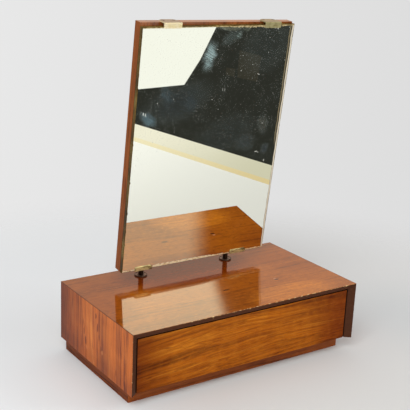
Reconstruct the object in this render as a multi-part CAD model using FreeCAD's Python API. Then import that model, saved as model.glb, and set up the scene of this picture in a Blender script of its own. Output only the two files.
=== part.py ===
import FreeCAD, Part

import math
import os

os.makedirs("parts", exist_ok=True)

# Table vanity box: a mitred wooden case on a recessed plinth holds one wide drawer with a
# plain front, and a frameless mirror tilts on two rods that stand on the top.
#
# Millimetres. X runs to the right, Y to the back, Z up. The origin is on the surface that the
# box stands on, under the middle of the case. The drawer opens towards -Y.

# ---------------------------------------------------------------------------------------------
# Case
# ---------------------------------------------------------------------------------------------
CASE_WIDTH = 400.0
CASE_DEPTH = 220.0
BODY_HEIGHT = 92.0
TOP_THICKNESS = 10.0
SIDE_THICKNESS = 10.0
BOTTOM_THICKNESS = 10.0
BACK_THICKNESS = 5.0
FRONT_BEVEL_DEPTH = 7.5  # how far the inner arris of top and sides lies behind the outer one
FRONT_EDGE_FLAT = 0.8  # narrow square edge left in front of the bevel
ARRIS_RADIUS = 0.6  # softened outer arrises of the case
BACK_REBATE = 5.0  # how far the back panel is let into top, sides and bottom
BOTTOM_HOUSING = 4.0  # how far the bottom panel is let into the sides

# Plinth
PLINTH_HEIGHT = 22.0
PLINTH_THICKNESS = 10.0
PLINTH_FRONT_SETBACK = 25.0
PLINTH_SIDE_SETBACK = 9.0
CORNER_BLOCK = 16.0  # leg of the triangular glue blocks inside the plinth
CORNER_BLOCK_RECESS = 6.0  # how far the glue blocks end above the plinth's lower edge

# ---------------------------------------------------------------------------------------------
# Drawer
# ---------------------------------------------------------------------------------------------
FRONT_THICKNESS = 15.0
FRONT_SIDE_REVEAL = 2.0
FRONT_TOP_REVEAL = 1.5
FRONT_ARRIS_RADIUS = 0.5
FINGER_COVE_LENGTH = 180.0  # hollow under the front, for pulling it open
FINGER_COVE_DEPTH = 9.0
FINGER_COVE_HEIGHT = 8.0
FINGER_COVE_RADIUS = 5.0
DRAWER_SIDE_THICKNESS = 10.0
DRAWER_BACK_THICKNESS = 9.0
DRAWER_BOTTOM_THICKNESS = 4.0
DRAWER_FLOOR_GAP = 1.5  # under the drawer sides, over the case bottom
DRAWER_ROOF_GAP = 2.0  # over the drawer sides, under the batten
DRAWER_REAR_GAP = 6.0
DRAWER_BACK_DROP = 3.0  # the drawer back is this much lower than the sides
DRAWER_BACK_INSET = 8.0  # from the rear ends of the sides
DRAWER_GROOVE = 4.0  # how far the drawer bottom and back are let into the sides
DRAWER_BOTTOM_LIP = 5.0  # wood left under the groove
TAIL_PITCH = 17.0  # least height of a drawer side for each dovetail
TAIL_LENGTH = 10.0
TAIL_WIDTH = 12.0
TAIL_NECK = 8.5

# Side-hung runners
RUNNER_HEIGHT = 8.0
RUNNER_WIDTH = 7.0
RUNNER_LEVEL = 22.0  # underside of the runner over the case bottom
RUNNER_GAP = 0.3  # above and below the runner in its groove
RUNNER_DEPTH_GAP = 0.5  # between the runner and the floor of its groove
RUNNER_FRONT_SETBACK = 3.0  # behind the drawer front
RUNNER_REAR_GAP = 3.0

# ---------------------------------------------------------------------------------------------
# Mirror
# ---------------------------------------------------------------------------------------------
MIRROR_WIDTH = 264.0
MIRROR_OFFSET = 4.0  # its middle is this far to the right of the middle between the posts
MIRROR_HEIGHT = 371.0
GLASS_THICKNESS = 6.0
GLASS_CHAMFER = 0.8
CARD_THICKNESS = 1.0
CARD_INSET = 1.5
BOARD_THICKNESS = 14.0
BOARD_RISE_LEFT = 5.0  # the board stands this much above the glass at its left corner
BOARD_RISE_RIGHT = 2.0  # and this much at its right corner
BOARD_ARRIS_RADIUS = 0.8
MIRROR_TILT = 6.87  # degrees forward, where the board's foot rests against the posts
BOARD_BELOW_PIVOT = 132.4
MIRROR_CLEARANCE = 19.6  # between the case top and the lower front edge of the glass
STOP_GAP = 0.3  # between the board's foot and the posts

# Clips that hold the glass
CLIP_WIDTH = 29.0
CLIP_THICKNESS = 1.4
CLIP_SEAT = 12.0  # length of the flange that lies on the board
CLIP_TOP_LEFT_OVERLAP = 2.5  # over the face of the glass
CLIP_TOP_RIGHT_OVERLAP = 5.0
CLIP_BOTTOM_OVERLAP = 5.5
CLIP_CORNER_RADIUS = 2.0
CLIP_FLANGE_RADIUS = 8.0
CLIP_BEND_RADIUS = 1.2
CLIP_SCREW_SPACING = 17.0
CLIP_TOP_LEFT_INSET = 48.0  # middle of the clip from the nearer side of the mirror
CLIP_TOP_RIGHT_INSET = 41.5
CLIP_BOTTOM_LEFT_INSET = 37.0
CLIP_BOTTOM_RIGHT_INSET = 51.0

# ---------------------------------------------------------------------------------------------
# Posts and tilting hinges
# ---------------------------------------------------------------------------------------------
POST_DIAMETER = 8.0
POST_SPACING = 160.0
POST_FROM_BACK = 33.5
POST_HOLE_GAP = 0.1  # radial, in the wood
THREAD_GAP = 0.05  # radial, in nuts and rosettes
EYE_DIAMETER = 14.0
ROSETTE_DIAMETER = 20.0
ROSETTE_RIM_HEIGHT = 2.2
ROSETTE_RIM_RADIUS = 0.5  # of the rounded top of the rim
ROSETTE_FLOOR = 1.2  # thickness round the post
ROSETTE_FLAT = 1.5  # width of the flat ring round the post
POST_WASHER_DIAMETER = 17.0
POST_WASHER_THICKNESS = 1.6
POST_NUT_FLATS = 13.0
POST_NUT_HEIGHT = 6.5
POST_END = 0.4  # thread showing under the nut

# Batten under the top, which the posts are bolted through
BATTEN_OVERHANG = 40.0  # past the middle of each post
BATTEN_WIDTH = 36.0
BATTEN_THICKNESS = 16.0
COUNTERBORE_SIDE_GAP = 2.5  # round the washer
COUNTERBORE_END_GAP = 0.5  # under the end of the post

PIVOT_BOLT_DIAMETER = 5.0
PIVOT_BORE_GAP = 0.05  # radial running clearance in the post's eye
FRICTION_WASHER_THICKNESS = 1.0
EAR_THICKNESS = 2.5
EAR_WIDTH = 16.0
BRACKET_WIDTH = 46.0
BRACKET_HEIGHT = 50.0
BRACKET_THICKNESS = 2.5
BRACKET_CORNER_RADIUS = 5.0
BRACKET_SCREW_X = 32.0
BRACKET_SCREW_Z = 36.0
PIVOT_HEAD_DIAMETER = 9.5
PIVOT_HEAD_HEIGHT = 3.5
THUMB_NUT_DIAMETER = 15.0
THUMB_NUT_HEIGHT = 6.0
THUMB_NUT_BOSS_DIAMETER = 9.0
THUMB_NUT_BOSS_HEIGHT = 2.0
THUMB_NUT_FLUTES = 20
THUMB_NUT_FLUTE_RADIUS = 0.7
PIVOT_BOLT_END = 1.5
HARDWARE_CHAMFER = 0.6

# ---------------------------------------------------------------------------------------------
# Wood screws: (head radius, shank radius), and how far each bites into its last piece
# ---------------------------------------------------------------------------------------------
SMALL_SCREW = (2.6, 1.3)
RUNNER_SCREW = (2.8, 1.5)
LARGE_SCREW = (3.6, 1.9)
CLIP_SCREW_BITE = 10.6
BRACKET_SCREW_BITE = 9.5
RUNNER_SCREW_BITE = 7.0
BACK_SCREW_BITE = 11.0
BATTEN_SCREW_BITE = 6.0
DRAWER_BOTTOM_SCREW_BITE = 9.0
SCREW_POINT = 1.5  # length of the point in shank radii
SLOT_WIDTH = 0.8
SLOT_DEPTH = 0.9
RUNNER_SCREW_COUNT = 3
RUNNER_SCREW_INSET = 20.0
BACK_SCREW_COLUMNS = 5
BACK_SCREW_INSET = 12.0
DRAWER_BOTTOM_SCREW_COUNT = 3
DRAWER_BOTTOM_SCREW_INSET = 20.0
BATTEN_SCREW_OFFSET = 28.0  # to each side of a post

# ---------------------------------------------------------------------------------------------
# Planes that several pieces share
# ---------------------------------------------------------------------------------------------
SIDE_X = CASE_WIDTH / 2
FRONT_Y = -CASE_DEPTH / 2
BACK_Y = CASE_DEPTH / 2
TOP_Z = PLINTH_HEIGHT + BODY_HEIGHT
INNER_X = SIDE_X - SIDE_THICKNESS
INNER_TOP_Z = TOP_Z - TOP_THICKNESS
FLOOR_Z = PLINTH_HEIGHT + BOTTOM_THICKNESS
BACK_PANEL_Y = BACK_Y - BACK_THICKNESS

DRAWER_FACE_Y = FRONT_Y + FRONT_BEVEL_DEPTH
DRAWER_STOP_Y = DRAWER_FACE_Y + FRONT_THICKNESS
DRAWER_X = INNER_X - FRONT_SIDE_REVEAL
DRAWER_INNER_X = DRAWER_X - DRAWER_SIDE_THICKNESS
DRAWER_LOW_Z = FLOOR_Z + DRAWER_FLOOR_GAP
DRAWER_HIGH_Z = INNER_TOP_Z - BATTEN_THICKNESS - DRAWER_ROOF_GAP
DRAWER_PLY_Z = DRAWER_LOW_Z + DRAWER_BOTTOM_LIP
DRAWER_TRAY_Z = DRAWER_PLY_Z + DRAWER_BOTTOM_THICKNESS
DRAWER_REAR_Y = BACK_PANEL_Y - DRAWER_REAR_GAP
DRAWER_BACK_Y = DRAWER_REAR_Y - DRAWER_BACK_INSET - DRAWER_BACK_THICKNESS
RUNNER_Z = FLOOR_Z + RUNNER_LEVEL
RUNNER_FRONT_Y = DRAWER_STOP_Y + RUNNER_FRONT_SETBACK
RUNNER_REAR_Y = BACK_PANEL_Y - RUNNER_REAR_GAP

POST_Y = BACK_Y - POST_FROM_BACK
POST_X = POST_SPACING / 2
BATTEN_LOW_Z = INNER_TOP_Z - BATTEN_THICKNESS
POST_FOOT_Z = BATTEN_LOW_Z + COUNTERBORE_END_GAP
POST_NUT_Z = POST_FOOT_Z + POST_END
POST_WASHER_Z = POST_NUT_Z + POST_NUT_HEIGHT
COUNTERBORE_Z = POST_WASHER_Z + POST_WASHER_THICKNESS
EAR_INNER_X = POST_DIAMETER / 2 + FRICTION_WASHER_THICKNESS
EAR_OUTER_X = EAR_INNER_X + EAR_THICKNESS

# The mirror is drawn upright with the tilt axis at the origin, then tilted and lifted to it.
# The board's foot stops against the posts at the resting tilt, which sets how far the board's
# back lies in front of the axis.
TILT = math.radians(MIRROR_TILT)
PIVOT_OFFSET = (
    POST_DIAMETER / 2 + STOP_GAP + BOARD_BELOW_PIVOT * math.sin(TILT)
) / math.cos(TILT)
BOARD_BACK_Y = -PIVOT_OFFSET
BOARD_FRONT_Y = BOARD_BACK_Y - BOARD_THICKNESS
GLASS_BACK_Y = BOARD_FRONT_Y - CARD_THICKNESS
GLASS_FRONT_Y = GLASS_BACK_Y - GLASS_THICKNESS
MIRROR_LOW_Z = -BOARD_BELOW_PIVOT
GLASS_HIGH_Z = MIRROR_LOW_Z + MIRROR_HEIGHT
MIRROR_LEFT_X = MIRROR_OFFSET - MIRROR_WIDTH / 2
MIRROR_RIGHT_X = MIRROR_OFFSET + MIRROR_WIDTH / 2
GLASS_FOOT_DROP = BOARD_BELOW_PIVOT * math.cos(TILT) - GLASS_FRONT_Y * math.sin(TILT)
PIVOT_Z = TOP_Z + MIRROR_CLEARANCE + GLASS_FOOT_DROP

UP = FreeCAD.Vector(0, 0, 1)
DOWN = FreeCAD.Vector(0, 0, -1)
TO_FRONT = FreeCAD.Vector(0, -1, 0)
TO_BACK = FreeCAD.Vector(0, 1, 0)
TO_RIGHT = FreeCAD.Vector(1, 0, 0)
SIDES = {"left": -1, "right": 1}


# ---------------------------------------------------------------------------------------------
# Shapes
# ---------------------------------------------------------------------------------------------
def box(x, y, z):
    """A box between the two limits given for each axis, in either order."""
    low = FreeCAD.Vector(min(x), min(y), min(z))
    return Part.makeBox(max(x) - low.x, max(y) - low.y, max(z) - low.z, low)


def prism(points, along):
    """The polygon through the points, drawn out along a vector."""
    corners = [FreeCAD.Vector(*point) for point in points]
    return Part.Face(Part.makePolygon(corners + corners[:1])).extrude(along)


def rod(radius, start, end):
    """A round bar from one point to another."""
    start = FreeCAD.Vector(*start)
    run = FreeCAD.Vector(*end) - start
    return Part.makeCylinder(radius, run.Length, start, run)


def turned(profile):
    """A solid of revolution about Z; profile lists its (radius, height) points."""
    corners = [FreeCAD.Vector(radius, 0, height) for radius, height in profile]
    face = Part.Face(Part.makePolygon(corners + corners[:1]))
    return face.revolve(FreeCAD.Vector(0, 0, 0), UP, 360)


def placed(shape, point, direction):
    """A copy whose own +Z points along direction from the point."""
    turn = FreeCAD.Rotation(UP, direction)
    copy = shape.copy()
    copy.Placement = FreeCAD.Placement(FreeCAD.Vector(*point), turn).multiply(copy.Placement)
    return copy


def edges_along(shape, direction, test=lambda edge: True):
    """The straight edges that run along a direction and pass the test."""
    found = []
    for edge in shape.Edges:
        if not isinstance(edge.Curve, Part.Line):
            continue
        if abs(edge.Curve.Direction.dot(direction)) > 0.999 and test(edge):
            found.append(edge)
    return found


def softened(shape, radius, directions):
    """The shape with the edges along the given directions rounded."""
    edges = []
    for direction in directions:
        edges += edges_along(shape, direction)
    return shape.makeFillet(radius, edges)


def screw(size, length, slotted=True):
    """A countersunk wood screw: head up at the origin, point down. Without its slot it is
    the shape of the hole that it makes."""
    head, shank = size
    body = turned(
        [
            (0, 0),
            (head, 0),
            (shank, shank - head),
            (shank, SCREW_POINT * shank - length),
            (0, -length),
        ]
    )
    if not slotted:
        return body
    slot = box((-head, head), (-SLOT_WIDTH / 2, SLOT_WIDTH / 2), (-SLOT_DEPTH, SLOT_DEPTH))
    return body.cut(slot)


def screws(size, length, places, direction):
    """The screws driven against a direction at each place, and the holes they make."""
    made = [placed(screw(size, length), place, direction) for place in places]
    holes = [placed(screw(size, length, False), place, direction) for place in places]
    return Part.makeCompound(made), holes


def spread(low, high, count):
    """Evenly spaced values from low to high, both included."""
    return [low + (high - low) * index / (count - 1) for index in range(count)]


# ---------------------------------------------------------------------------------------------
# Case
# ---------------------------------------------------------------------------------------------
def case_outline():
    """The outside of the case with softened arrises; every panel stays inside it."""
    block = box((-SIDE_X, SIDE_X), (FRONT_Y, BACK_Y), (PLINTH_HEIGHT, TOP_Z))
    return softened(block, ARRIS_RADIUS, (UP, TO_RIGHT, TO_BACK))


def make_back_panel():
    low_z = FLOOR_Z - BACK_REBATE
    high_z = INNER_TOP_Z + BACK_REBATE
    half = INNER_X + BACK_REBATE
    return box((-half, half), (BACK_PANEL_Y, BACK_Y), (low_z, high_z))


def make_bottom_panel():
    half = INNER_X + BOTTOM_HOUSING
    return box((-half, half), (DRAWER_STOP_Y, BACK_Y), (PLINTH_HEIGHT, FLOOR_Z))


def make_top_panel():
    """Mitred at both ends; its front edge is bevelled back towards the underside."""
    corners = [
        (-SIDE_X, FRONT_Y, TOP_Z),
        (SIDE_X, FRONT_Y, TOP_Z),
        (INNER_X, FRONT_Y, INNER_TOP_Z),
        (-INNER_X, FRONT_Y, INNER_TOP_Z),
    ]
    bevel = [
        (-SIDE_X, FRONT_Y, TOP_Z - FRONT_EDGE_FLAT),
        (-SIDE_X, DRAWER_FACE_Y, INNER_TOP_Z),
        (-SIDE_X, FRONT_Y, INNER_TOP_Z),
    ]
    panel = prism(corners, TO_BACK * CASE_DEPTH)
    return panel.cut(prism(bevel, TO_RIGHT * CASE_WIDTH))


def make_side_panel(side):
    """Mitred to the top; its front edge is bevelled back towards the inside."""
    corners = [
        (side * SIDE_X, FRONT_Y, PLINTH_HEIGHT),
        (side * SIDE_X, FRONT_Y, TOP_Z),
        (side * INNER_X, FRONT_Y, INNER_TOP_Z),
        (side * INNER_X, FRONT_Y, PLINTH_HEIGHT),
    ]
    bevel = [
        (side * (SIDE_X - FRONT_EDGE_FLAT), FRONT_Y, PLINTH_HEIGHT),
        (side * INNER_X, DRAWER_FACE_Y, PLINTH_HEIGHT),
        (side * INNER_X, FRONT_Y, PLINTH_HEIGHT),
    ]
    panel = prism(corners, TO_BACK * CASE_DEPTH)
    return panel.cut(prism(bevel, UP * BODY_HEIGHT))


def plinth_frame():
    """The four mitred rails of the plinth, flush with the back of the case."""
    out_x = SIDE_X - PLINTH_SIDE_SETBACK
    in_x = out_x - PLINTH_THICKNESS
    out_front = FRONT_Y + PLINTH_FRONT_SETBACK
    in_front = out_front + PLINTH_THICKNESS
    in_back = BACK_Y - PLINTH_THICKNESS
    rails = {
        "front": [(-out_x, out_front), (out_x, out_front), (in_x, in_front), (-in_x, in_front)],
        "back": [(-out_x, BACK_Y), (out_x, BACK_Y), (in_x, in_back), (-in_x, in_back)],
    }
    for name, side in SIDES.items():
        rails[name] = [
            (side * out_x, out_front),
            (side * out_x, BACK_Y),
            (side * in_x, in_back),
            (side * in_x, in_front),
        ]
    solids = {
        name: prism([(x, y, 0) for x, y in plan], UP * PLINTH_HEIGHT)
        for name, plan in rails.items()
    }
    blocks = []
    for side in SIDES.values():
        for corner_y, inward in ((in_front, 1), (in_back, -1)):
            plan = [
                (side * in_x, corner_y),
                (side * (in_x - CORNER_BLOCK), corner_y),
                (side * in_x, corner_y + inward * CORNER_BLOCK),
            ]
            height = PLINTH_HEIGHT - CORNER_BLOCK_RECESS
            blocks.append(prism([(x, y, CORNER_BLOCK_RECESS) for x, y in plan], UP * height))
    return solids, Part.makeCompound(blocks)


def make_batten():
    """The batten under the top, with a counterbored hole for each post."""
    half = POST_X + BATTEN_OVERHANG
    front = POST_Y - BATTEN_WIDTH / 2
    batten = box((-half, half), (front, front + BATTEN_WIDTH), (BATTEN_LOW_Z, INNER_TOP_Z))
    bore_radius = POST_WASHER_DIAMETER / 2 + COUNTERBORE_SIDE_GAP
    for side in SIDES.values():
        x = side * POST_X
        batten = batten.cut(rod(bore_radius, (x, POST_Y, BATTEN_LOW_Z), (x, POST_Y, COUNTERBORE_Z)))
        batten = batten.cut(post_hole(side))
    return batten


def make_runner(side):
    wall = side * INNER_X
    inner = side * (INNER_X - RUNNER_WIDTH)
    return box((wall, inner), (RUNNER_FRONT_Y, RUNNER_REAR_Y), (RUNNER_Z, RUNNER_Z + RUNNER_HEIGHT))


# ---------------------------------------------------------------------------------------------
# Drawer
# ---------------------------------------------------------------------------------------------
def make_drawer_bottom():
    half = DRAWER_INNER_X + DRAWER_GROOVE
    front = DRAWER_STOP_Y - DRAWER_GROOVE
    rear = DRAWER_BACK_Y + DRAWER_BACK_THICKNESS
    return box((-half, half), (front, rear), (DRAWER_PLY_Z, DRAWER_TRAY_Z))


def make_drawer_back():
    """Stands on the drawer bottom, let into the sides."""
    half = DRAWER_INNER_X + DRAWER_GROOVE
    high_z = DRAWER_HIGH_Z - DRAWER_BACK_DROP
    rear = DRAWER_BACK_Y + DRAWER_BACK_THICKNESS
    return box((-half, half), (DRAWER_BACK_Y, rear), (DRAWER_TRAY_Z, high_z))


def dovetails(side):
    """The tails at the front end of a drawer side, lapped into the drawer front."""
    height = DRAWER_HIGH_Z - DRAWER_LOW_Z
    count = int(height / TAIL_PITCH)
    pitch = height / count
    tip = DRAWER_STOP_Y - TAIL_LENGTH
    tails = []
    for index in range(count):
        middle = DRAWER_LOW_Z + pitch * (index + 0.5)
        outline = [
            (side * DRAWER_X, DRAWER_STOP_Y, middle - TAIL_NECK / 2),
            (side * DRAWER_X, DRAWER_STOP_Y, middle + TAIL_NECK / 2),
            (side * DRAWER_X, tip, middle + TAIL_WIDTH / 2),
            (side * DRAWER_X, tip, middle - TAIL_WIDTH / 2),
        ]
        tails.append(prism(outline, TO_RIGHT * (-side * DRAWER_SIDE_THICKNESS)))
    return tails


def make_drawer_front():
    """A plain board with a hollow under it for the fingers and sockets for the sides."""
    front = box(
        (-DRAWER_X, DRAWER_X),
        (DRAWER_FACE_Y, DRAWER_STOP_Y),
        (PLINTH_HEIGHT, INNER_TOP_Z - FRONT_TOP_REVEAL),
    )
    face_edges = []
    for direction in (TO_RIGHT, UP):
        face_edges += edges_along(
            front, direction, lambda edge: abs(edge.CenterOfMass.y - DRAWER_FACE_Y) < 0.01
        )
    front = front.makeFillet(FRONT_ARRIS_RADIUS, face_edges)
    half = FINGER_COVE_LENGTH / 2
    cove = box(
        (-half, half),
        (DRAWER_STOP_Y - FINGER_COVE_DEPTH, DRAWER_STOP_Y),
        (PLINTH_HEIGHT, PLINTH_HEIGHT + FINGER_COVE_HEIGHT),
    )
    inner_edge = edges_along(
        cove,
        TO_RIGHT,
        lambda edge: edge.CenterOfMass.y < DRAWER_STOP_Y - 0.01
        and edge.CenterOfMass.z > PLINTH_HEIGHT + 0.01,
    )
    cove = cove.makeFillet(FINGER_COVE_RADIUS, inner_edge)
    front = front.cut(cove)
    for side in SIDES.values():
        for tail in dovetails(side):
            front = front.cut(tail)
    return front.cut(make_drawer_bottom())


def make_drawer_side(side):
    outer = side * DRAWER_X
    inner = side * DRAWER_INNER_X
    board = box((outer, inner), (DRAWER_STOP_Y, DRAWER_REAR_Y), (DRAWER_LOW_Z, DRAWER_HIGH_Z))
    for tail in dovetails(side):
        board = board.fuse(tail)
    groove_floor = side * (INNER_X - RUNNER_WIDTH - RUNNER_DEPTH_GAP)
    groove = box(
        (outer, groove_floor),
        (DRAWER_STOP_Y, DRAWER_REAR_Y),
        (RUNNER_Z - RUNNER_GAP, RUNNER_Z + RUNNER_HEIGHT + RUNNER_GAP),
    )
    board = board.cut(groove)
    board = board.cut(make_drawer_bottom())
    board = board.cut(make_drawer_back())
    return board.removeSplitter()


# ---------------------------------------------------------------------------------------------
# Posts
# ---------------------------------------------------------------------------------------------
def post_hole(side):
    """The hole for one post through the top and the batten."""
    x = side * POST_X
    return rod(POST_DIAMETER / 2 + POST_HOLE_GAP, (x, POST_Y, BATTEN_LOW_Z), (x, POST_Y, TOP_Z))


def make_post(side):
    """A round rod with a cross-drilled eye at the tilt axis."""
    x = side * POST_X
    half = POST_DIAMETER / 2
    bore_radius = PIVOT_BOLT_DIAMETER / 2 + PIVOT_BORE_GAP
    left = (x - half, POST_Y, PIVOT_Z)
    right = (x + half, POST_Y, PIVOT_Z)
    shaft = rod(half, (x, POST_Y, POST_FOOT_Z), (x, POST_Y, PIVOT_Z))
    eye = rod(EYE_DIAMETER / 2, left, right)
    return shaft.fuse(eye).removeSplitter().cut(rod(bore_radius, left, right))


def make_rosette(side):
    """A dished collar, brazed to the post, that bears on the top; its rim is rounded."""
    outer = ROSETTE_DIAMETER / 2
    bore = POST_DIAMETER / 2 + THREAD_GAP
    neck = POST_DIAMETER / 2 + ROSETTE_FLAT
    rim_x = outer - ROSETTE_RIM_RADIUS
    rim_z = ROSETTE_RIM_HEIGHT - ROSETTE_RIM_RADIUS
    rim = [
        (rim_x + ROSETTE_RIM_RADIUS * math.cos(angle), rim_z + ROSETTE_RIM_RADIUS * math.sin(angle))
        for angle in spread(0, math.pi, 9)
    ]
    inner = outer - 2 * ROSETTE_RIM_RADIUS
    fall = rim_z - ROSETTE_FLOOR
    dish = [
        (inner + (neck - inner) * (1 - math.cos(angle)), rim_z - fall * math.sin(angle))
        for angle in spread(0, math.pi / 2, 9)[1:]
    ]
    profile = [(bore, 0), (outer, 0)] + rim + dish + [(bore, ROSETTE_FLOOR)]
    return placed(turned(profile), (side * POST_X, POST_Y, TOP_Z), UP)


def make_post_fastenings():
    """The washer and hexagon nut under each post, as two groups."""
    washers = []
    nuts = []
    corner = POST_NUT_FLATS / math.sqrt(3)
    for side in SIDES.values():
        x = side * POST_X
        bore = rod(POST_DIAMETER / 2 + THREAD_GAP, (x, POST_Y, POST_NUT_Z), (x, POST_Y, COUNTERBORE_Z))
        washer = rod(POST_WASHER_DIAMETER / 2, (x, POST_Y, POST_WASHER_Z), (x, POST_Y, COUNTERBORE_Z))
        washers.append(washer.cut(bore))
        turns = [math.radians(60 * turn) for turn in range(6)]
        plan = [
            (x + corner * math.cos(turn), POST_Y + corner * math.sin(turn), POST_NUT_Z)
            for turn in turns
        ]
        nuts.append(prism(plan, UP * POST_NUT_HEIGHT).cut(bore))
    return Part.makeCompound(washers), Part.makeCompound(nuts)


# ---------------------------------------------------------------------------------------------
# Mirror, drawn upright about the tilt axis
# ---------------------------------------------------------------------------------------------
def make_mirror_board():
    """A plain board behind the glass; its top edge runs slightly out of square."""
    outline = [
        (MIRROR_LEFT_X, BOARD_BACK_Y, MIRROR_LOW_Z),
        (MIRROR_RIGHT_X, BOARD_BACK_Y, MIRROR_LOW_Z),
        (MIRROR_RIGHT_X, BOARD_BACK_Y, GLASS_HIGH_Z + BOARD_RISE_RIGHT),
        (MIRROR_LEFT_X, BOARD_BACK_Y, GLASS_HIGH_Z + BOARD_RISE_LEFT),
    ]
    board = prism(outline, TO_FRONT * BOARD_THICKNESS)
    rear_edges = [
        edge
        for edge in board.Edges
        if all(abs(vertex.Y - BOARD_BACK_Y) < 0.01 for vertex in edge.Vertexes)
        and edge.CenterOfMass.z > MIRROR_LOW_Z + 0.01
    ]
    return board.makeFillet(BOARD_ARRIS_RADIUS, rear_edges)


def make_mirror_card():
    return box(
        (MIRROR_LEFT_X + CARD_INSET, MIRROR_RIGHT_X - CARD_INSET),
        (BOARD_FRONT_Y, GLASS_BACK_Y),
        (MIRROR_LOW_Z + CARD_INSET, GLASS_HIGH_Z - CARD_INSET),
    )


def make_mirror_glass():
    glass = box(
        (MIRROR_LEFT_X, MIRROR_RIGHT_X),
        (GLASS_BACK_Y, GLASS_FRONT_Y),
        (MIRROR_LOW_Z, GLASS_HIGH_Z),
    )
    front_edges = [
        edge
        for edge in glass.Edges
        if all(abs(vertex.Y - GLASS_FRONT_Y) < 0.01 for vertex in edge.Vertexes)
    ]
    return glass.makeChamfer(GLASS_CHAMFER, front_edges)


def clip_body(rise, overlap):
    """A bent brass strip. Its flange lies on the board's edge at height 0; the glass lies
    rise below that, and the strip laps its face by overlap. The bend has its inner corner
    at the face of the glass."""
    half = CLIP_WIDTH / 2
    seat_end = BOARD_FRONT_Y + CLIP_SEAT
    face = GLASS_FRONT_Y
    foot = -rise - overlap
    profile = [
        (-half, seat_end, 0),
        (-half, seat_end, CLIP_THICKNESS),
        (-half, face - CLIP_THICKNESS, CLIP_THICKNESS),
        (-half, face - CLIP_THICKNESS, foot),
        (-half, face, foot),
        (-half, face, 0),
    ]
    strip = prism(profile, TO_RIGHT * CLIP_WIDTH)
    flange_corners = edges_along(strip, UP, lambda edge: edge.CenterOfMass.y > seat_end - 0.01)
    strip = strip.makeFillet(CLIP_FLANGE_RADIUS, flange_corners)
    tab_corners = edges_along(strip, TO_BACK, lambda edge: edge.CenterOfMass.z < foot + 0.01)
    strip = strip.makeFillet(CLIP_CORNER_RADIUS, tab_corners)
    bend = edges_along(
        strip,
        TO_RIGHT,
        lambda edge: edge.CenterOfMass.y < face - CLIP_THICKNESS / 2
        and edge.CenterOfMass.z > CLIP_THICKNESS / 2,
    )
    return strip.makeFillet(CLIP_BEND_RADIUS, bend)


def make_clip(x, overlap, at_top):
    """One clip with its two screws; also the holes that the screws make."""
    if at_top:
        share = (x - MIRROR_LEFT_X) / MIRROR_WIDTH
        rise = BOARD_RISE_LEFT + (BOARD_RISE_RIGHT - BOARD_RISE_LEFT) * share
        slope = math.degrees(math.atan2(BOARD_RISE_LEFT - BOARD_RISE_RIGHT, MIRROR_WIDTH))
        seat = FreeCAD.Placement(
            FreeCAD.Vector(x, 0, GLASS_HIGH_Z + rise), FreeCAD.Rotation(TO_BACK, slope)
        )
    else:
        rise = 0
        seat = FreeCAD.Placement(
            FreeCAD.Vector(x, 0, MIRROR_LOW_Z), FreeCAD.Rotation(TO_BACK, 180)
        )
    places = [
        (along, BOARD_FRONT_Y + CLIP_SEAT / 2, CLIP_THICKNESS)
        for along in (-CLIP_SCREW_SPACING / 2, CLIP_SCREW_SPACING / 2)
    ]
    made, holes = screws(SMALL_SCREW, CLIP_THICKNESS + CLIP_SCREW_BITE, places, UP)
    strip = clip_body(rise, overlap).cut(holes)
    shapes = [strip, made] + holes
    for shape in shapes:
        shape.Placement = seat.multiply(shape.Placement)
    return strip, made, holes


def make_bracket(side):
    """A screwed base plate with two ears that carry the pivot bolt."""
    base = box(
        (-BRACKET_WIDTH / 2, BRACKET_WIDTH / 2),
        (BOARD_BACK_Y, BOARD_BACK_Y + BRACKET_THICKNESS),
        (-BRACKET_HEIGHT / 2, BRACKET_HEIGHT / 2),
    )
    base = softened(base, BRACKET_CORNER_RADIUS, (TO_BACK,))
    bracket = base
    half = EAR_WIDTH / 2
    for hand in SIDES.values():
        inner = hand * EAR_INNER_X
        outer = hand * EAR_OUTER_X
        lug = box((inner, outer), (BOARD_BACK_Y, 0), (-half, half))
        bracket = bracket.fuse(lug).fuse(rod(half, (inner, 0, 0), (outer, 0, 0)))
    bore = rod(PIVOT_BOLT_DIAMETER / 2 + THREAD_GAP, (-EAR_OUTER_X, 0, 0), (EAR_OUTER_X, 0, 0))
    bracket = bracket.removeSplitter().cut(bore)
    places = [
        (x, BOARD_BACK_Y + BRACKET_THICKNESS, z)
        for x in (-BRACKET_SCREW_X / 2, BRACKET_SCREW_X / 2)
        for z in (-BRACKET_SCREW_Z / 2, BRACKET_SCREW_Z / 2)
    ]
    made, holes = screws(LARGE_SCREW, BRACKET_THICKNESS + BRACKET_SCREW_BITE, places, TO_BACK)
    bracket = bracket.cut(holes)
    for shape in [bracket, made] + holes:
        shape.translate(FreeCAD.Vector(side * POST_X, 0, 0))
    return bracket, made, holes


def make_pivot_bolt(side):
    """A slotted bolt; its head is on the side of the mirror's middle."""
    grip = 2 * EAR_OUTER_X
    length = grip + THUMB_NUT_BOSS_HEIGHT + THUMB_NUT_HEIGHT + PIVOT_BOLT_END
    head_radius = PIVOT_HEAD_DIAMETER / 2
    shank = PIVOT_BOLT_DIAMETER / 2
    bolt = turned(
        [
            (0, -PIVOT_HEAD_HEIGHT),
            (head_radius - HARDWARE_CHAMFER, -PIVOT_HEAD_HEIGHT),
            (head_radius, HARDWARE_CHAMFER - PIVOT_HEAD_HEIGHT),
            (head_radius, 0),
            (shank, 0),
            (shank, length - HARDWARE_CHAMFER),
            (shank - HARDWARE_CHAMFER, length),
            (0, length),
        ]
    )
    slot = box(
        (-head_radius, head_radius),
        (-SLOT_WIDTH / 2, SLOT_WIDTH / 2),
        (-PIVOT_HEAD_HEIGHT, SLOT_DEPTH - PIVOT_HEAD_HEIGHT),
    )
    inner_face = side * (POST_X - EAR_OUTER_X)
    return placed(bolt.cut(slot), (inner_face, 0, 0), TO_RIGHT * side)


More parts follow.
